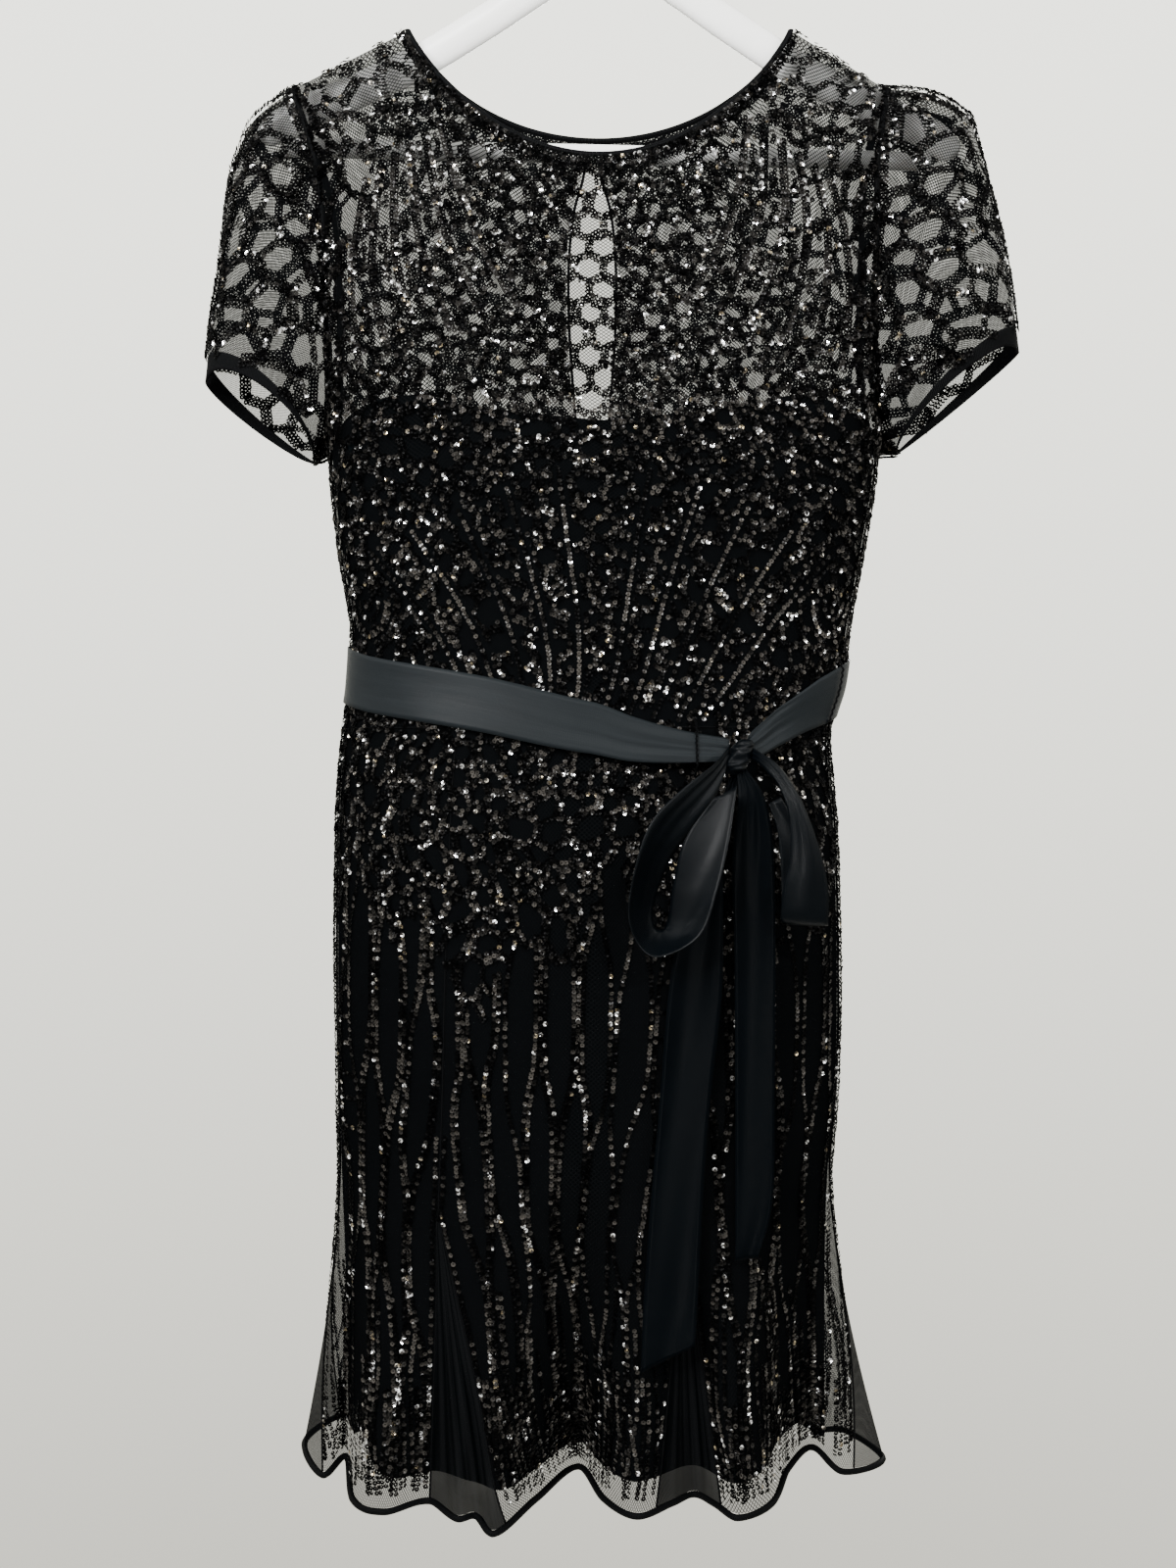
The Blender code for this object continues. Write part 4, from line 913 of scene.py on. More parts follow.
def grid_piece(name, place, columns, rows, finish, size, replaced=(), closed=False):
    """Cloth from a flat grid that is placed by a function of how far across and how far up it is."""
    shape, across, along = flat_grid(columns, rows, size)
    put(shape, place(across, along) + DRESS_PLACE)
    if closed:
        weld(shape)
    return add_piece(name, finish_mesh(name, shape), finish, replaced)


def give_wall(piece, thickness):
    wall = piece.modifiers.new("wall", "SOLIDIFY")
    wall.thickness = thickness
    wall.offset = -1


def tube(name, path, radius, finish, sides=8, closed=False, replaced=(), across=None, width=None,
         moved=DRESS_PLACE):
    """A cord or band along a path: round, or flattened along the directions given."""
    path = np.asarray(path, float)
    count = len(path)
    ahead = np.roll(path, -1, 0) - np.roll(path, 1, 0)
    if not closed:
        ahead[0], ahead[-1] = path[1] - path[0], path[-1] - path[-2]
    ahead = unit(ahead)
    if across is None:
        side = np.cross(ahead, np.array([0.13, 0.21, 0.97]))
        flat = np.linalg.norm(side, axis=1) < 0.3
        side[flat] = np.cross(ahead[flat], np.array([0.0, 1.0, 0.0]))
    else:
        side = square_to(ahead, across)
    side = unit(side)
    out = np.cross(ahead, side)
    thick = np.array(radius) * np.ones(count)
    reach = thick if width is None else np.array(width) * np.ones(count)
    steps = count if closed else count - 1
    shape, u, v = flat_grid(steps, sides, (metres_along(path)[-1], 2 * np.pi * np.mean(thick)))
    row = np.round(u * steps).astype(int) % count
    turned = 2 * np.pi * v
    put(shape, path[row] + side[row] * (np.cos(turned) * reach[row])[:, None]
        + out[row] * (np.sin(turned) * thick[row])[:, None] + moved)
    weld(shape)
    if not closed:
        bmesh.ops.holes_fill(shape, edges=[edge for edge in shape.edges if edge.is_boundary])
    bmesh.ops.recalc_face_normals(shape, faces=shape.faces)
    return add_piece(name, finish_mesh(name, shape), finish, replaced)


# ---- Net shell

def bodice_front():
    angles = np.concatenate([np.linspace(-SIDE_ANGLE, NECK_LEFT_ANGLE, 31),
                             np.linspace(NECK_LEFT_ANGLE, NECK_RIGHT_ANGLE, 91)[1:],
                             np.linspace(NECK_RIGHT_ANGLE, SIDE_ANGLE, 31)[1:]])
    top = column_top(angles, FRONT_NECK_DROP)
    keys = np.linspace(0, 1, len(angles))

    def place(u, v):
        return plain_body(np.interp(u, keys, angles), WAIST_Z + v * (np.interp(u, keys, top) - WAIST_Z))

    return grid_piece("bodice_front_net", place, 96, 60, "net", (0.42, 0.45), ["bodice_front"])


def bodice_back(name, side):
    """One back: side 1 is at the right of the front view, side -1 at its left."""
    neck = 180 - (NECK_RIGHT_ANGLE if side > 0 else NECK_LEFT_ANGLE)
    outer = 180 - side * SIDE_ANGLE
    shoulder_part = 0.42

    def angle(u, z):
        near = np.clip((u - shoulder_part) / (1 - shoulder_part), 0, 1)
        bent = 1 - np.cos(np.pi * near / 2)
        flat = outer + (neck - outer) * np.minimum(u / shoulder_part, 1)
        return np.where(u < shoulder_part, flat, neck + (slit_angle(z, side) - neck) * bent)

    keys = np.linspace(0, 1, 101)
    top = neck_top(BACK_NECK_DROP, lambda z: plain_body(angle(keys, z * np.ones(101)), z)[..., 0])

    def place(u, v):
        u = u if side > 0 else 1 - u
        z = WAIST_Z + v * (np.interp(u, keys, top) - WAIST_Z)
        return plain_body(angle(u, z), z)

    return grid_piece(name + "_net", place, 46, 56, "net", (0.21, 0.45), [name])


def gore_place(left, right):
    def place(u, v):
        first, last = gore_edges(left, right, 1 - v)
        return skirt_point(first + (last - first) * u, 1 - v)
    return place


def godet_place(seam):
    top = SKIRT_SEAMS[seam][3]

    def place(u, v):
        share = 1 - v * (1 - top)
        middle, half = seam_angle(seam, share), godet_half(seam, share)
        return skirt_point(middle + half * (2 * u - 1), share)
    return place


def skirt():
    for name, left, right in GORES:
        grid_piece(name + "_net", gore_place(left, right), 26, 60, "net", (0.15, 0.465), [name])
    for seam in SKIRT_SEAMS:
        # the front and back godets get painted fold highlights
        finish = "plain_net" if seam in ("left", "right") else "fold_sheen_net"
        grid_piece("godet_" + seam + "_net", godet_place(seam), 26, 30, finish, (0.10, 0.16),
                   ["godet_" + seam])


def linings():
    for name, first, top_line in (("front", -90, LINING_FRONT_TOP), ("back", 90, LINING_BACK_TOP)):
        def bodice_place(u, v, first=first, top_line=top_line):
            angle = first + 0.001 + 2 * SIDE_ANGLE * u
            side = np.degrees(np.arcsin(np.minimum(1, np.abs(np.sin(np.radians(angle))))))
            return lined_point(angle, WAIST_Z + v * (curve_through(top_line, side, 1) - WAIST_Z))

        def skirt_place(u, v, first=first):
            return lining_skirt_point(first + 180 * u, (1 - v) * LINING_HEM)

        grid_piece("lining_bodice_" + name + "_cloth", bodice_place, 64, 14, "lining", (0.40, 0.19),
                   ["lining_bodice_" + name])
        grid_piece("lining_skirt_" + name + "_cloth", skirt_place, 120, 32, "lining", (0.48, 0.44),
                   ["lining_skirt_" + name])


# ---- Sleeves

def sleeve_point(side, around, share):
    """Points of a sleeve: around from over the arm by the front, share from the armhole to the hem."""
    around = np.asarray(around, float) % 1
    edge = -SIDE_ANGLE if side == "left" else SIDE_ANGLE
    down = 1 - np.abs(1 - 2 * around)
    z = SHOULDER_END_Z + down * (UNDERARM_Z - SHOULDER_END_Z)
    start = plain_body(edge, z)
    front = around < 0.5
    start[..., 1] = np.where(front, -armhole_depth(z, ARMHOLE_FRONT), armhole_depth(z, ARMHOLE_BACK))
    hem = {key: np.array(value) for key, value in SLEEVE_HEM[side].items()}
    cosine, sine = np.cos(2 * np.pi * around), np.sin(2 * np.pi * around)
    middle, half = (hem["over"] + hem["under"]) / 2, (hem["over"] - hem["under"]) / 2
    belly = np.where((sine > 0)[..., None], hem["front"] - middle, hem["back"] - middle)
    end = middle + half * cosine[..., None] + belly * np.abs(sine)[..., None]
    point = start + (end - start) * share[..., None]
    top = SLEEVE_TOP[side]
    line = np.stack([curve_through(top, share, 1), 0 * share, curve_through(top, share, 2)], -1)
    first, last = np.array([top[0][1], 0, top[0][2]]), np.array([top[-1][1], 0, top[-1][2]])
    point += (line - first - (last - first) * share[..., None]) * (((1 + cosine) / 2) ** 2)[..., None]
    point[..., 1] -= SLEEVE_PUFF * np.sin(np.pi * share) * sine
    return point


def sleeves():
    for side in ("left", "right"):
        def around(u, side=side):
            return u if side == "left" else 1 - u

        def net_place(u, v, side=side):
            return sleeve_point(side, around(u), (1 - v) * CUFF_SHARE)

        def cuff_place(u, v, side=side):
            return sleeve_point(side, around(u), 1 - v * (1 - CUFF_SHARE))

        grid_piece("sleeve_" + side + "_net", net_place, 76, 32, "net", (0.42, 0.20), ["sleeve_" + side],
                   closed=True)
        cuff = grid_piece("cuff_" + side + "_band", cuff_place, 120, 6, "binding", (0.26, 0.014),
                          ["cuff_" + side], closed=True)
        give_wall(cuff, CUFF_WALL)


# ---- Bindings, rolled hem and seams

def neck_edge():
    """The closed neck edge: from left to right along the front, and on round the back."""
    share = eased(np.linspace(0, 1, 140))
    front, back = neck_line("front", share), neck_line("back", share[1:-1])
    return np.concatenate([plain_body(*front), plain_body(*back)])


def bindings():
    edge = neck_edge()
    ahead = unit(np.roll(edge, -1, 0) - np.roll(edge, 1, 0))
    inwards = unit(square_to(ahead, np.array([-0.002, 0, -0.115]) - edge))
    thick, wide = NECK_BINDING
    tube("neck_binding_band", edge + inwards * 0.0010, thick, "binding", closed=True,
         replaced=["neck_binding"], across=inwards, width=wide)
    for word in NECK_SIDES:
        def facing_place(u, v, word=word):
            angle, top = neck_line(word, eased(u))
            z = top - (1 - v) * FACING_DEPTH
            return plain_body(angle, z) - outward(plain_body, angle, z) * FACING_INSIDE

        grid_piece("neck_facing_" + word, facing_place, 90, 4, "facing", (0.40, FACING_DEPTH))
    thick, wide = SLIT_BINDING
    for name, side in (("slit_binding_right", 1), ("slit_binding_left", -1)):
        z = np.linspace(SLIT_BINDING_TOP, BACK_SLIT[1][0], 60)
        path = plain_body(slit_angle(z, side), z) - np.array([side * 0.0013, 0, 0])
        tube(name + "_band", path, thick, "binding", replaced=[name],
             across=np.tile([1.0, 0, 0], (60, 1)), width=wide)
    angles = np.linspace(HEM_FIRST_ANGLE, HEM_FIRST_ANGLE + 360, 721)[:-1]
    path = skirt_point(angles, np.ones(720)) - np.array([0, 0, HEM_ROLL_DROP])
    tube("hem_roll_band", path, HEM_ROLL, "thread", closed=True, replaced=["hem_roll"])


def seams():
    """Narrow stitched ridges where the pieces of net join."""
    paths = {}
    for seam in SKIRT_SEAMS:
        top = SKIRT_SEAMS[seam][3]
        upper = np.linspace(0, top, 40)
        lower = np.linspace(top, 1, 24)
        paths["seam_" + seam] = skirt_point(seam_angle(seam, upper), upper)
        for sign, word in ((-1, "a"), (1, "b")):
            angle = seam_angle(seam, lower) + sign * godet_half(seam, lower)
            paths["seam_" + seam + "_" + word] = skirt_point(angle, lower)
    z = np.linspace(WAIST_Z, UNDERARM_Z, 40)
    paths["seam_side_left"] = plain_body(-SIDE_ANGLE, z)
    paths["seam_side_right"] = plain_body(SIDE_ANGLE, z)
    z = np.linspace(WAIST_Z, BACK_SLIT[1][0], 40)
    paths["seam_back"] = plain_body(slit_angle(z, 1), z)
    for side in ("left", "right"):
        around = np.linspace(0, 1, 100)
        paths["seam_armhole_" + side] = sleeve_point(side, around, np.full(100, 0.002))
    waist = np.linspace(-180, 180, 240)
    paths["seam_waist"] = plain_body(waist, np.full(240, WAIST_Z))
    for name, path in paths.items():
        ridge, sides = (ARMHOLE_RIDGE, 6) if "armhole" in name else (SEAM_RIDGE, 4)
        tube(name, path, ridge, "thread", sides=sides)


# ---- Belt and bow

def belt():
    first, last = BELT[0][0], BELT[-1][0]

    def place(u, v):
        angle = first + (last - first) * u
        middle, width, off = (curve_through(BELT, angle, column) for column in (1, 2, 3))
        z = middle + (v - 0.5) * width
        near = np.maximum(0, 1 - (angle - first) / 22) + np.maximum(0, 1 - (last - angle) / 34)
        creases = np.sin(v * 26 + u * 9) * 0.0011 + np.sin(v * 11 - u * 14 + 1) * 0.0009
        gentle = np.sin(u * 23 + v * 2.0) * 0.00035 + np.sin(u * 71 + v * 4) * 0.00015
        lift = off + 0.0012 + creases * near ** 1.5 + gentle
        point = plain_body(angle, z) + outward(plain_body, angle, z) * lift[..., None]
        pull = np.clip(near, 0, 1)[..., None] ** 8
        gathered = point.copy()
        gathered[..., 0] = KNOT_CENTRE[0] + np.where(u < 0.5, 1, -1) * KNOT_SIZE[0] / 2
        return point + (gathered - point) * pull

    piece = grid_piece("belt_ribbon", place, 300, 12, "satin", (0.80, RIBBON_WIDTH), ["belt_wrap"])
    give_wall(piece, RIBBON_WALL)


def ribbon(name, sections, length, bulge, creases, finish):
    """A ribbon through sections that each give its two edges, with folds from the knot."""
    table_a = [(i, *a) for i, (a, _) in enumerate(sections)]
    table_b = [(i, *b) for i, (_, b) in enumerate(sections)]
    last = len(sections) - 1

    def edge(table, step):
        return np.stack([curve_through(table, step, column) for column in (1, 2, 3)], -1)

    def place(u, v):
        step = (1 - v) * last
        a, b = edge(table_a, step), edge(table_b, step)
        ahead = edge(table_a, np.minimum(step + 0.05, last)) - edge(table_a, np.maximum(step - 0.05, 0))
        out = unit(np.cross(ahead, b - a))
        near = (1 - np.clip(step / (last * 0.55), 0, 1)) ** 1.2
        fold = np.sin(u * 19 + step * 0.6) * creases * near + np.sin(u * 7 + step * 1.3) * creases * 0.35
        high = bulge * 4 * u * (1 - u) * np.clip(step, 0, 1) + fold
        return a + (b - a) * u[..., None] - out * high[..., None]

    piece = grid_piece(name + "_ribbon", place, 12, 90, finish, (RIBBON_WIDTH, length), [name])
    give_wall(piece, RIBBON_WALL)


def bow():
    ribbon("bow_loop_left", BOW_LOOP_LEFT, 0.27, 0.0022, 0.0009, "bow")
    ribbon("bow_loop_right", BOW_LOOP_RIGHT, 0.23, -0.0016, 0.0008, "bow")
    ribbon("bow_tail_left", BOW_TAIL_LEFT, 0.37, 0.0014, 0.0010, "tail")
    ribbon("bow_tail_right", BOW_TAIL_RIGHT, 0.30, 0.0012, 0.0009, "tail")
    shape = bmesh.new()
    bmesh.ops.create_icosphere(shape, subdivisions=5, radius=1)
    lay_uv(shape, lambda place: (place.x * 0.02, place.z * 0.02))
    for vertex in shape.verts:
        x, y, z = vertex.co
        squared = [math.copysign(abs(value) ** 0.72, value) for value in (x, y, z)]
        crease = 1 + 0.07 * math.sin(z * 9 + x * 2.5) + 0.04 * math.sin(z * 17 - x * 3)
        waist = 1 - 0.10 * math.cos(z * 1.5) * (1 - abs(x))
        high = squared[2] * KNOT_SIZE[2] * 0.72
        vertex.co = Vector((squared[0] * KNOT_SIZE[0] * 0.60 * crease * waist + high * KNOT_LEAN,
                            squared[1] * KNOT_SIZE[1] * 0.50 * crease,
                            high - KNOT_DROP)) + Vector(KNOT_CENTRE) + Vector(DRESS_PLACE)
    add_piece("bow_knot_ribbon", finish_mesh("bow_knot_ribbon", shape), "bow", ["bow_knot"])


def carriers():
    """Twisted cords from the net over the belt and back to the net."""
    share = np.linspace(0, 1, 60)
    ends = np.minimum(1, 6 * np.minimum(share, 1 - share))
    twist = 2 * np.pi * CARRIER_TURNS * share
    aside = np.stack([np.cos(twist), np.sin(twist), 0 * twist], -1) * 0.0003
    for name, (angle, top, bottom) in BELT_CARRIERS.items():
        z = top + (bottom - top) * share
        belt_off = float(curve_through(BELT, angle if angle > BELT[0][0] else angle + 360, 3))
        off = 0.0006 + (belt_off + 0.0022) * ends
        out = outward(plain_body, np.full(60, float(angle)), z)
        tube(name + "_cord", plain_body(float(angle), z) + out * off[:, None] + aside, CARRIER_CORD,
             "thread", sides=6, replaced=[name])


def button():
    """A turned button on the right of the slit, and its thread loop."""
    x = float(SLIT_X)
    z = float(neck_height(np.array(x), BACK_NECK_DROP)) - 0.006
    edge = plain_body(slit_angle(np.array(z), 1), np.array(z))
    middle = Vector(edge) + Vector((DRESS_X + 0.006, BUTTON_THICKNESS / 2 + 0.0006, 0))
    shape = bmesh.new()
    verts = [shape.verts.new((r * BUTTON_RADIUS, 0, h * BUTTON_THICKNESS)) for r, h in BUTTON_PROFILE]
    edges = [shape.edges.new(pair) for pair in zip(verts, verts[1:])]
    bmesh.ops.spin(shape, geom=verts + edges, cent=(0, 0, 0), axis=(0, 0, 1), angle=math.tau, steps=32,
                   use_merge=True)
    weld(shape)
    bmesh.ops.recalc_face_normals(shape, faces=shape.faces)
    for vertex in shape.verts:
        vertex.co = Vector((vertex.co.x, vertex.co.z, -vertex.co.y)) + middle
    add_piece("button_disc", finish_mesh("button_disc", shape), "button", ["button"])
    turned = np.linspace(0, 2 * np.pi, 60)
    loop = np.stack([middle.x - DRESS_X - 0.004 + 0.0085 * np.cos(turned), np.full(60, middle.y - 0.001),
                     middle.z + 0.0050 * np.sin(turned)], -1)
    tube("button_loop", loop[:-1], 0.0006, "thread", sides=6, closed=True)


# ---- Hanger

def hanger():
    line = [(-d, z, s) for d, z, s in reversed(HANGER_ARM)] + list(HANGER_ARM[1:])
    steps = np.linspace(0, len(line) - 1, 160)
    keyed = [(i, *row) for i, row in enumerate(line)]
    x, z, share = (curve_through(keyed, steps, column) for column in (1, 2, 3))
    ends = np.minimum(steps, len(line) - 1 - steps)
    share = share * np.sqrt(np.clip(1 - (1 - np.clip(ends / 0.35, 0, 1)) ** 2, 0.02, 1))
    path = np.stack([x, 0 * x, z - x * HANGER_LEAN], -1)
    tube("hanger_arms_shell", path, ARM_THICKNESS / 2 * share, "plastic", sides=24,
         replaced=["hanger_arms"], across=np.tile([0.0, 0.0, 1.0], (160, 1)),
         width=ARM_HEIGHT / 2 * share, moved=0)
    x = np.linspace(-BAR_HALF, BAR_HALF, 40)
    tube("hanger_bar_shell", np.stack([x, 0 * x, BAR_Z - x * HANGER_LEAN], -1), BAR_RADIUS, "plastic",
         sides=24, replaced=["hanger_bar"], moved=0)
    middle = HOOK_RADIUS + HOOK_WIRE
    turned = np.radians(np.linspace(HOOK_START_ANGLE, HOOK_START_ANGLE + HOOK_TURN, 90))
    bend = np.stack([middle * np.cos(turned), 0 * turned, middle * np.sin(turned) - HOOK_RADIUS], -1)
    foot = np.array([[0, 0, HOOK_FOOT_Z], [0, 0, (HOOK_FOOT_Z + bend[0][2]) / 2]])
    path = np.concatenate([foot, bend])
    radius = np.full(len(path), HOOK_WIRE)
    radius[-1] = HOOK_WIRE * 0.35
    radius[-2] = HOOK_WIRE * 0.8
    tube("hanger_hook_shell", path, radius, "plastic", sides=20, replaced=["hanger_hook"],
         across=np.tile([0.0, 1.0, 0.0], (len(path), 1)), moved=0)


# ---- Sequins

def cell_stretch():
    """Pattern units up the dress for heights, so that cells are as tall as the table says."""
    z = np.linspace(-1.10, -0.05, 1200)
    tall = np.interp(z, [row[0] for row in CELL_HEIGHTS], [row[1] for row in CELL_HEIGHTS])
    units = np.concatenate([[0], np.cumsum((z[1] - z[0]) / ((tall[1:] + tall[:-1]) / 2))])
    return z, units


STRETCH_Z, STRETCH_UNITS = cell_stretch()


def cell_walls(seeds, places):
    """Walls between the cells around seeds: pairs of places, each a mean of three seeds' places."""
    _, _, faces, *_ = delaunay_2d_cdt([Vector(seed) for seed in seeds], [], [], 0, 1e-9)
    middles = np.array([places[list(face)].mean(0) for face in faces])
    beside = {}
    walls = []
    for number, face in enumerate(faces):
        for a, b in ((0, 1), (1, 2), (2, 0)):
            key = tuple(sorted((face[a], face[b])))
            if key in beside:
                walls.append((middles[beside[key]], middles[number]))
            beside[key] = number
    return np.array(walls)


def string_shades(draw, count, brighter=0.0):
    """Shades along one string: mostly dark, with painted glints in short runs and painted sheen that comes
    and goes along it.
    """
    along = np.arange(count)
    spots = np.arange(0, count + RUN_LENGTH, RUN_LENGTH)
    lit = np.where(draw.random(len(spots)) < LIT_RUNS + brighter * 0.3, LIT_CHANCE, DARK_CHANCE)
    tone = np.interp(along, spots, draw.random(len(spots)))
    # painted sheen that alternates from sequin to sequin
    turned = np.where(along % 2, ALTERNATE_SHEEN, -ALTERNATE_SHEEN)
    dark = np.clip(tone * 0.85 + brighter + turned + draw.uniform(-0.26, 0.28, count), 0, DULL_SHADES)
    bright = draw.random(count) < np.interp(along, spots, lit)
    return np.where(bright, draw.uniform(DARK_SHADES, 1, count), dark)


def row_offset(row, rows):
    return (row - (rows - 1) / 2) * ROW_PITCH


def string_rows(draw, walls, to_metres, share_two, share_three):
    """Sequins along each wall in one to three rows: places, directions along and shades."""
    start, end = to_metres(walls[:, 0]), to_metres(walls[:, 1])
    lengths = np.linalg.norm(end - start, axis=1)
    places, ways, shades = [], [], []
    for (a, b), length, first, last in zip(walls, lengths, start, end):
        count = max(1, int(round(length / SEQUIN_STEP)))
        chance = draw.random()
        rows = 3 if chance < share_three else 2 if chance < share_three + share_two else 1
        way = (last - first) / max(length, 1e-6)
        for row in range(rows):
            step = (np.arange(count) + draw.uniform(0.2, 0.8)) / count
            line = to_metres(a + (b - a) * step[:, None])
            line += np.array([-way[1], way[0]]) * row_offset(row, rows)
            places.append(line + draw.normal(0, 0.00025, line.shape))
            ways.append(np.tile(way, (count, 1)))
            shades.append(string_shades(draw, count))
    return [np.concatenate(parts) for parts in (places, ways, shades)]


def line_rows(draw, lines, brighter=0.0):
    """Sequins along whole lines, each given as places in metres and a number of rows."""
    places, ways, shades = [], [], []
    for line, rows in lines:
        run = metres_along(line)
        count = int(run[-1] / SEQUIN_STEP)
        if count < 3:
            continue
        for row in range(rows):
            step = (np.arange(count) + draw.uniform(0, 1)) / count * run[-1]
            place = np.stack([np.interp(step, run, line[:, column]) for column in (0, 1)], -1)
            ahead = unit(np.gradient(place, axis=0))
            aside = np.stack([-ahead[:, 1], ahead[:, 0]], -1) * row_offset(row, rows)
            places.append(place + aside + draw.normal(0, 0.00016, place.shape))
            ways.append(ahead)
            shades.append(string_shades(draw, count, brighter))
    return [np.concatenate(parts) for parts in (places, ways, shades)]


def clear_of(places, lines):
    """Which places keep their distance from all the lines."""
    spots = np.concatenate([line for line, _ in lines])
    tree = KDTree(len(spots))
    for number, spot in enumerate(spots):
        tree.insert((*spot, 0), number)
    tree.balance()
    return np.array([tree.find((*place, 0))[2] > LINE_CLEARANCE for place in places])


def sequin_shape():
    """One cup with a hole: its points and its six faces."""
    shape = bmesh.new()
    bmesh.ops.create_circle(shape, segments=6, radius=SEQUIN_HOLE)
    grown = bmesh.ops.extrude_edge_only(shape, edges=shape.edges[:])["geom"]
    for vertex in grown:
        if isinstance(vertex, bmesh.types.BMVert):
            rim = Vector((vertex.co.x, vertex.co.y, 0)).normalized() * SEQUIN_RADIUS
            vertex.co = rim + Vector((0, 0, SEQUIN_CUP))
    bmesh.ops.recalc_face_normals(shape, faces=shape.faces)
    shape.verts.index_update()
    points = np.array([vertex.co[:] for vertex in shape.verts])
    faces = np.array([[vertex.index for vertex in face.verts] for face in shape.faces])
    if sum(face.normal.z for face in shape.faces) < 0:
        faces = faces[:, ::-1]
    shape.free()
    return points, faces


SEQUIN_POINTS, SEQUIN_FACES = sequin_shape()


def dimmed(shades, tone):
    """The shades with the dark ones darker, and the bright ones as they are: painted shade for sequins seen
    against the light.
    """
    return np.where(shades < DARK_SHADES, shades * tone, shades)


def crescents(draw, shades):
    """Shades of all faces: a painted crescent highlight on each bright cup, on the side towards a direction
    drawn at random, with its other faces painted brown-grey.
    """
    middles = SEQUIN_POINTS[SEQUIN_FACES].mean(1)
    round_cup = np.arctan2(middles[:, 1], middles[:, 0])
    light = draw.uniform(0, 2 * np.pi, len(shades))
    hidden = np.cos(round_cup[None] - light[:, None]) < CRESCENT_EDGE
    faces = np.repeat(shades[:, None], len(round_cup), 1)
    return np.where(hidden & (faces > DARK_SHADES), CRESCENT_SHADE, faces).ravel()


def scatter(name, draw, points, outs, ways, shades, grown=1.0):
    """Sequins as one piece, each leaning back along its string like a tile."""
    count = len(points)
    side = unit(np.cross(ways, outs))
    way = np.cross(outs, side)
    lean = np.radians(16 + draw.normal(0, 9, count))[:, None]
    roll = np.radians(draw.normal(0, 11, count))[:, None]
    out = outs * np.cos(lean) + way * np.sin(lean)
    out = unit(out * np.cos(roll) + side * np.sin(roll))
    side = unit(np.cross(way, out))
    way = np.cross(out, side)
    spin = draw.uniform(0, np.pi / 3, count)[:, None]
    one, two = way * np.cos(spin) + side * np.sin(spin), side * np.cos(spin) - way * np.sin(spin)
    local = SEQUIN_POINTS[None] * (draw.uniform(0.92, 1.05, count)[:, None, None] * grown)
    centre = points + outs * (SEQUIN_LIFT + draw.uniform(0, 0.0004, count)[:, None])
    verts = (centre[:, None] + one[:, None] * local[..., :1] - two[:, None] * local[..., 1:2]
             + out[:, None] * local[..., 2:]) + DRESS_PLACE
    handed = np.einsum("ij,ij->i", np.cross(one, -two), out)
    faces = SEQUIN_FACES if handed.mean() > 0 else SEQUIN_FACES[:, ::-1]
    faces = faces[None] + (np.arange(count) * len(SEQUIN_POINTS))[:, None, None]
    mesh = bpy.data.meshes.new(name)
    mesh.from_pydata(verts.reshape(-1, 3).tolist(), [], faces.reshape(-1, 4).tolist())
    shade = mesh.attributes.new("shade", "FLOAT", "FACE")
    shade.data.foreach_set("value", crescents(draw, shades).astype(np.float32))
    add_piece(name, mesh, "sequins", smooth=False)


def arc_table(first):
    """Angles for metres along a section of the body, from its middle."""
    angles = np.linspace(first, first + 180, 361)
    angles[0] += 0.01
    angles[-1] -= 0.01
    points = plain_body(angles, np.full(361, -0.50))
    run = metres_along(points)
    return run - run[-1] / 2, angles


def fan_lines(word):
    """Single strings on the bodice: a fan up from the waist, and curves where darts are taken in."""
    lines = []
    for side in (-1, 1):
        for number in range(5 if word == "front" else 3):
            t = np.linspace(0, 1, 60)
            low, high = 0.009 + 0.016 * number, 0.026 + 0.029 * number
            across = side * (low + (high - low) * t ** 1.25)
            lines.append((np.stack([across, WAIST_Z + 0.004 + (0.155 - 0.012 * number) * t], -1), 1))
        if word == "front":
            for number in range(6):
                t = np.linspace(0, 1, 50)
                start, end = 0.086 + 0.010 * number, 0.048 + 0.019 * number
                bent = start + (end - start) * t + 0.010 * np.sin(np.pi * t)
                lines.append((np.stack([side * bent, -0.178 - 0.008 * number - 0.125 * t], -1), 2))
            t = np.linspace(0, np.pi, 50)
            for reach in (0.0155, 0.0085):
                bend = np.stack([side * 0.150 + reach * np.cos(t), -0.484 - reach * 1.4 * np.sin(t)], -1)
                lines.append((bend, 2 if reach > 0.01 else 1))
    return lines


def cells_end(x):
    """Uneven height where the cells stop on the skirt."""
    return CELLS_END_Z + 0.030 * np.sin(x * 41 + 1.0) + 0.022 * np.sin(x * 113)


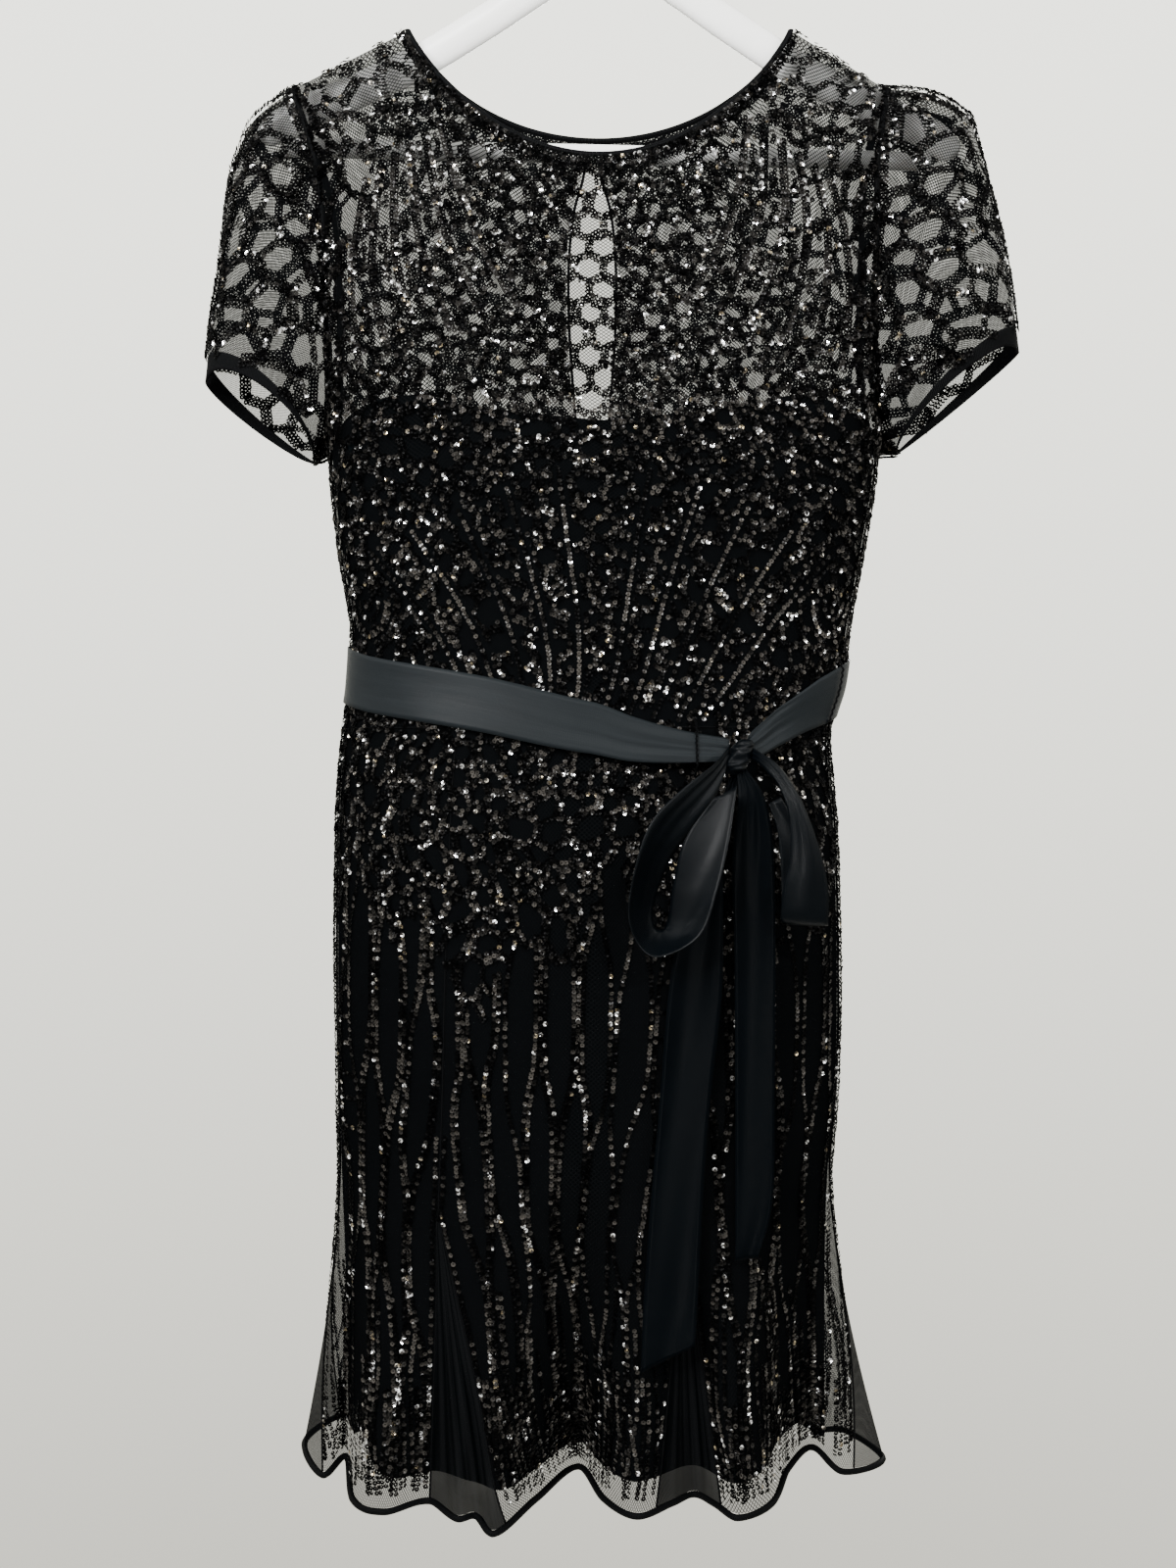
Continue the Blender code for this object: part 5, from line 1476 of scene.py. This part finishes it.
def skirt_lines(word, draw, run, angles):
    """Strings down the gores, each leaning by turns on its neighbours like drawn-out honeycomb."""
    lines = []
    heights = np.linspace(STRING_TOP_Z, STRING_END_Z, STRING_POINTS)
    share = (heights - WAIST_Z) / (HEM_Z - WAIST_Z)
    gathered = 1 - 0.22 * np.exp(-((heights - GATHER_Z) / GATHER_REACH) ** 2)

    def add(x, rows, begin, end=None):
        lines.append((np.stack([x, heights], -1)[begin:end], rows))

    for _, left, right in GORES[:3] if word == "front" else GORES[3:]:
        low, high = (np.interp(edge, angles, run) for edge in gore_edges(left, right, share))
        count = int(round((high[0] - low[0]) / STRING_PITCH[word]))
        pitch = (high - low) / count
        phase = draw.uniform(0, 6)
        columns = []
        for number in range(count):
            phase += draw.normal(0, 0.55)
            length = STRING_WAVE * draw.uniform(0.92, 1.08)
            wave = np.sin(2 * np.pi * (heights - heights[0]) / length + phase + np.pi * number)
            lean = np.tanh(2.0 * wave) * 0.36 * pitch
            middle = low + (high - low) * (0.5 + ((number + 0.5) / count - 0.5) * gathered)
            columns.append(middle + lean + draw.uniform(-0.0012, 0.0012))
        for x in columns:
            begin = max(0, int(np.argmax(heights < cells_end(x[20]) + 0.012)))
            end = STRING_POINTS - draw.integers(0, 3)
            add(x, 2 if draw.random() < TWO_ROWS[word] else 1, begin, end)
            if draw.random() < HALF_STRINGS:
                add(x + 0.0060, 1, draw.integers(74, 96))
            if word == "front":
                add(x - 0.0052, 2, draw.integers(96, 106))
        for x, beside in zip(columns, columns[1:]):
            if draw.random() < RUNG_SHARE:
                top = draw.uniform(-0.86, -0.70)
                for rung in top - RUNG_STEP * np.arange(draw.integers(4, 10)):
                    start, end = (np.interp(-rung, -heights, line) for line in (x, beside))
                    lines.append((np.array([(start, rung), (end, rung + draw.uniform(-0.003, 0.003))]), 1))
        add(low + 0.0026, 1, 54)
        add(high - 0.0026, 1, 54)
    return lines


def edge_lines(word, run, angles):
    """Strings along the neck edge and down the side seams."""
    angle, top = neck_line(word, eased(np.linspace(0, 1, 160)))
    across = np.interp(angle, angles, run)
    lines = [(np.stack([across, top - depth], -1), 2) for depth in (0.0036, 0.0084)]
    z = np.linspace(-0.96, UNDERARM_Z, 200)
    for side in (-1, 1):
        lines.append((np.stack([side * (run[-1] - 0.0022) + 0.0005 * np.sin(z * 90), z], -1), 2))
    return lines


def slit_walls(draw):
    """Even honeycomb on the front net before the slit, where the light comes through."""
    seeds = []
    for row in range(22):
        for column in range(-3, 4):
            x = SLIT_X + (column + 0.5 * (row % 2)) * SLIT_CELL + draw.uniform(-0.0003, 0.0003)
            seeds.append((x, -0.165 - row * HEX_RISE * SLIT_CELL))
    walls = cell_walls(np.array(seeds), np.array(seeds))
    x, z = walls.mean(1).T
    return walls[(np.abs(x - SLIT_X) < slit_half(z) + 0.001) & (z > BACK_SLIT[0][0] + 0.010)]


def body_cells(word, draw, half):
    """Sequins of the uneven honeycomb on one side of the body."""
    wide = CELL_WIDTH[word]
    columns = int(2 * half / wide) + 3
    rows = int(STRETCH_UNITS[-1] / HEX_RISE * PATTERN_UNIT / wide) + 2
    seeds = []
    for row in range(rows):
        for column in range(columns):
            x = (column + 0.5 * (row % 2)) - columns / 2 + draw.uniform(-CELL_JITTER, CELL_JITTER)
            seeds.append((x, row * HEX_RISE + draw.uniform(-CELL_JITTER, CELL_JITTER)))
    seeds = np.array(seeds)

    def to_metres(place):
        z = np.interp(place[..., 1] * wide / PATTERN_UNIT, STRETCH_UNITS, STRETCH_Z)
        x = place[..., 0] * wide
        return np.stack([x + 0.0030 * np.sin(z * 61 + x * 17), z + 0.0034 * np.sin(x * 53 + z * 11)], -1)

    x, z = to_metres(seeds).T
    shoulder = np.clip((np.abs(x) - 0.075) / 0.05, 0, 1) * np.clip((z + 0.34) / 0.10, 0, 1)
    seeds = seeds[draw.random(len(seeds)) > 0.10 + 0.55 * shoulder]
    walls = cell_walls(seeds, seeds)
    middle = to_metres(walls.mean(1))
    walls = walls[middle[:, 1] > cells_end(middle[:, 0])]
    return string_rows(draw, walls, to_metres, *WALL_ROWS[word])


def body_sequins():
    """Uneven honeycomb over the bodice that draws out into long lines down the skirt."""
    for word, first in (("front", -90), ("back", 90)):
        draw = np.random.default_rng(SEEDS[word])
        run, angles = arc_table(first)
        cells = body_cells(word, draw, run[-1])
        singles = fan_lines(word)
        keep = clear_of(cells[0], singles)
        if word == "front":
            keep &= np.abs(cells[0][:, 0] - SLIT_X) > slit_half(cells[0][:, 1]) * 0.94 - 0.0002
        parts = [[part[keep] for part in cells], line_rows(draw, singles, SINGLE_BRIGHTER),
                 line_rows(draw, skirt_lines(word, draw, run, angles), SKIRT_BRIGHTER),
                 line_rows(draw, edge_lines(word, run, angles))]
        if word == "front":
            parts.append(string_rows(draw, slit_walls(draw), lambda place: place, *WALL_ROWS["slit"]))
        flat, ways, shades = (np.concatenate(columns) for columns in zip(*parts))
        angle, z = np.interp(flat[:, 0], run, angles), flat[:, 1]
        keep = (np.abs(flat[:, 0]) < run[-1] - 0.001) & sequins_allowed(word, angle, z)
        angle, z, ways, shades = angle[keep], z[keep], ways[keep], shades[keep]
        points = dress_point(angle, z)
        outs = outward(dress_point, angle, z, step=0.8, rise=0.003)
        across = unit(dress_point(angle + 0.8, z) - dress_point(angle - 0.8, z))
        along = across * ways[:, :1] + np.cross(outs, across) * ways[:, 1:]
        # painted shade: sequins darker where they are seen against the light below the lining, and where
        # they are seen along the net at the sides
        sheer = skirt_share(angle, z) > LINING_HEM - 0.010
        beside = np.abs(np.sin(np.radians(angle))) > SIDE_SINE
        plain = np.ones(len(z))
        skirt_tone = np.where(sheer | beside, SHEER_AND_SIDE_SHADE, plain)
        # painted shade on the yoke's dark sequins, seen against the light
        for part, low, high, tone, size in (("yoke", YOKE_END_Z, 0.0, plain * YOKE_BACKLIT_SHADE, YOKE_SIZE),
                                            ("bodice", WAIST_Z, YOKE_END_Z, plain, 1.0),
                                            ("skirt", -2.0, WAIST_Z, skirt_tone, 1.0)):
            chosen = (z > low) & (z <= high)
            scatter("sequins_" + part + "_" + word, draw, points[chosen], outs[chosen], along[chosen],
                    dimmed(shades[chosen], tone[chosen]), size)


def sequins_allowed(word, angle, z):
    """Where the net carries sequins: not above the neck edge, in slit, godets or hem, or under the belt."""
    x = plain_body(angle, z)[:, 0]
    allowed = z < neck_height(x, NECK_SIDES[word][1]) - 0.0012
    if word == "back":
        allowed &= ~((np.abs(x - SLIT_X) < slit_half(z) + 0.0016) & (z > BACK_SLIT[0][0]))
    share = np.maximum(skirt_share(angle, z), 0)
    allowed &= share < 0.988
    for seam in SKIRT_SEAMS:
        away = np.abs((angle - seam_angle(seam, share) + 180) % 360 - 180)
        allowed &= ~((share > SKIRT_SEAMS[seam][3]) & (away < godet_half(seam, share) + 0.9))
    round_angle = np.where(angle < BELT[0][0], angle + 360, angle)
    middle, width = curve_through(BELT, round_angle, 1), curve_through(BELT, round_angle, 2)
    allowed &= np.abs(z - middle) > width / 2 - 0.003
    return allowed


def sleeve_walls(side, draw, first):
    """Walls of the loose cells on one half of a sleeve, and of its edges, as shares around and along."""
    around = first + draw.uniform(-0.02, 0.52, SLEEVE_SEEDS)
    share = draw.uniform(-0.08, 1.04, SLEEVE_SEEDS)
    inside = np.clip(share, 0, 1)
    flat = sleeve_point(side, np.clip(around, first, first + 0.4999), inside)[:, [0, 2]]
    flat += np.stack([(share - inside) * 0.1, around - np.clip(around, first, first + 0.5)], -1)
    chosen = []
    for number, point in enumerate(flat):
        if all((point - flat[other]) @ (point - flat[other]) > SLEEVE_CELL ** 2 for other in chosen):
            chosen.append(number)
    walls = cell_walls(flat[chosen], np.stack([around[chosen], share[chosen]], -1))
    walls = walls[((walls[..., 0] > first - 0.01) & (walls[..., 0] < first + 0.51)).all(1)]
    steps = np.linspace(0.01, CUFF_SHARE, 26)
    borders = [np.stack([np.full(26, first + beside), steps], -1) for beside in (0.002, 0.022, 0.478)]
    borders.append(np.stack([np.linspace(first, first + 0.498, 40), np.full(40, 0.020)], -1))
    return np.concatenate([walls, *(np.stack([line[:-1], line[1:]], 1) for line in borders)])


def sleeve_sequins():
    """Larger and looser cells on the sleeves."""
    for side in ("left", "right"):
        draw = np.random.default_rng(SEEDS[side])
        places, ways, offsets, shades = [], [], [], []
        for first in (0.0, 0.5):
            walls = sleeve_walls(side, draw, first)
            start, end = (sleeve_point(side, walls[:, number, 0], np.clip(walls[:, number, 1], 0, 1))
                          for number in (0, 1))
            for (a, b), length in zip(walls, np.linalg.norm((end - start)[:, [0, 2]], axis=1)):
                count = max(1, int(round(length / SEQUIN_STEP)))
                rows = draw.choice([1, 2, 3], p=[0.0, 0.4, 0.6])
                for row in range(rows):
                    step = (np.arange(count) + draw.uniform(0.2, 0.8)) / count
                    places.append(a + (b - a) * step[:, None])
                    ways.append(np.tile(b - a, (count, 1)))
                    offsets.append(np.full(count, row_offset(row, rows)))
                    shades.append(string_shades(draw, count))
        place, way, offset, shade = (np.concatenate(part) for part in (places, ways, offsets, shades))
        keep = (place[:, 1] > 0.012) & (place[:, 1] < CUFF_SHARE + 0.01)
        place, way, offset, shade = place[keep], way[keep], offset[keep], shade[keep]
        around, share = place[:, 0], place[:, 1]
        points = sleeve_point(side, around, share)
        tiny = way * (1e-3 / np.maximum(np.linalg.norm(way, axis=1), 1e-6))[:, None]
        moved = sleeve_point(side, around + tiny[:, 0], np.clip(share + tiny[:, 1], 0, 1))
        along = unit(moved - points)
        wide = sleeve_point(side, around + 0.004, share) - sleeve_point(side, around - 0.004, share)
        tall = sleeve_point(side, around, share - 0.01) - sleeve_point(side, around, share + 0.01)
        outs = unit(np.cross(wide, tall) * (1 if side == "left" else -1))
        points = points + np.cross(along, outs) * offset[:, None]
        # painted shade on the sleeves' dark sequins, seen against the light
        scatter("sequins_sleeve_" + side, draw, points, outs, along, dimmed(shade, YOKE_BACKLIT_SHADE), YOKE_SIZE)


# ---- Stage

def stage():
    """A pale floor under the dress, a bright room, lights and the camera."""
    link = bpy.context.scene.collection.objects.link
    shape = bmesh.new()
    bmesh.ops.create_circle(shape, segments=96, radius=FLOOR_RADIUS, cap_ends=True)
    for vertex in shape.verts:
        vertex.co.z = FLOOR_Z
    mesh = finish_mesh("floor", shape)
    floor = bpy.data.objects.new("floor", mesh)
    link(floor)
    made, shader, base = start_material("pale_floor", Roughness=0.9)
    colour = tint(base, noise(base, 2.0, 2.0), (0.66, 0.66, 0.63), (0.70, 0.70, 0.67))
    base.feed(shader.inputs["Base Color"], colour)
    mesh.materials.append(made)

    world = bpy.data.worlds.new("studio")
    bpy.context.scene.world = world
    world.use_nodes = True
    walls = world.node_tree.nodes["Background"].inputs
    base = Channel(world.node_tree)
    split = base.node("ShaderNodeTexCoord")
    split = base.node("ShaderNodeSeparateXYZ", (), {0: split})
    back, up = (Channel(world.node_tree, split.socket.node.outputs[number]) for number in (1, 2))
    base.feed(walls["Color"], tint(base, up * 1.1 + 0.5, ROOM_LOW, ROOM_HIGH))
    seen = base.node("ShaderNodeLightPath")
    room = (back * 0.5 + 0.5) * (ROOM_BACK - ROOM_FRONT) + ROOM_FRONT
    base.feed(walls["Strength"], seen * (WALL_BRIGHTNESS - room) + room)

    for name, place, size, power in LIGHTS:
        light = bpy.data.lights.new(name, "AREA")
        light.size, light.energy = size, power
        lamp = bpy.data.objects.new(name, light)
        lamp.location = place
        aim = Vector(LIGHTS_AIM) - Vector(place)
        lamp.rotation_euler = aim.to_track_quat("-Z", "Y").to_euler()
        link(lamp)

    camera = bpy.data.cameras.new("camera")
    camera.lens = CAMERA_LENS
    camera.sensor_width = CAMERA_SENSOR
    camera.clip_start = CAMERA_NEAREST
    eye = bpy.data.objects.new("camera", camera)
    eye.location = CAMERA_PLACE
    eye.rotation_euler = (math.pi / 2, 0, 0)
    link(eye)
    bpy.context.scene.camera = eye


stage()
bodice_front()
bodice_back("bodice_back_right", 1)
bodice_back("bodice_back_left", -1)
skirt()
linings()
sleeves()
bindings()
seams()
belt()
bow()
carriers()
button()
hanger()
body_sequins()
sleeve_sequins()
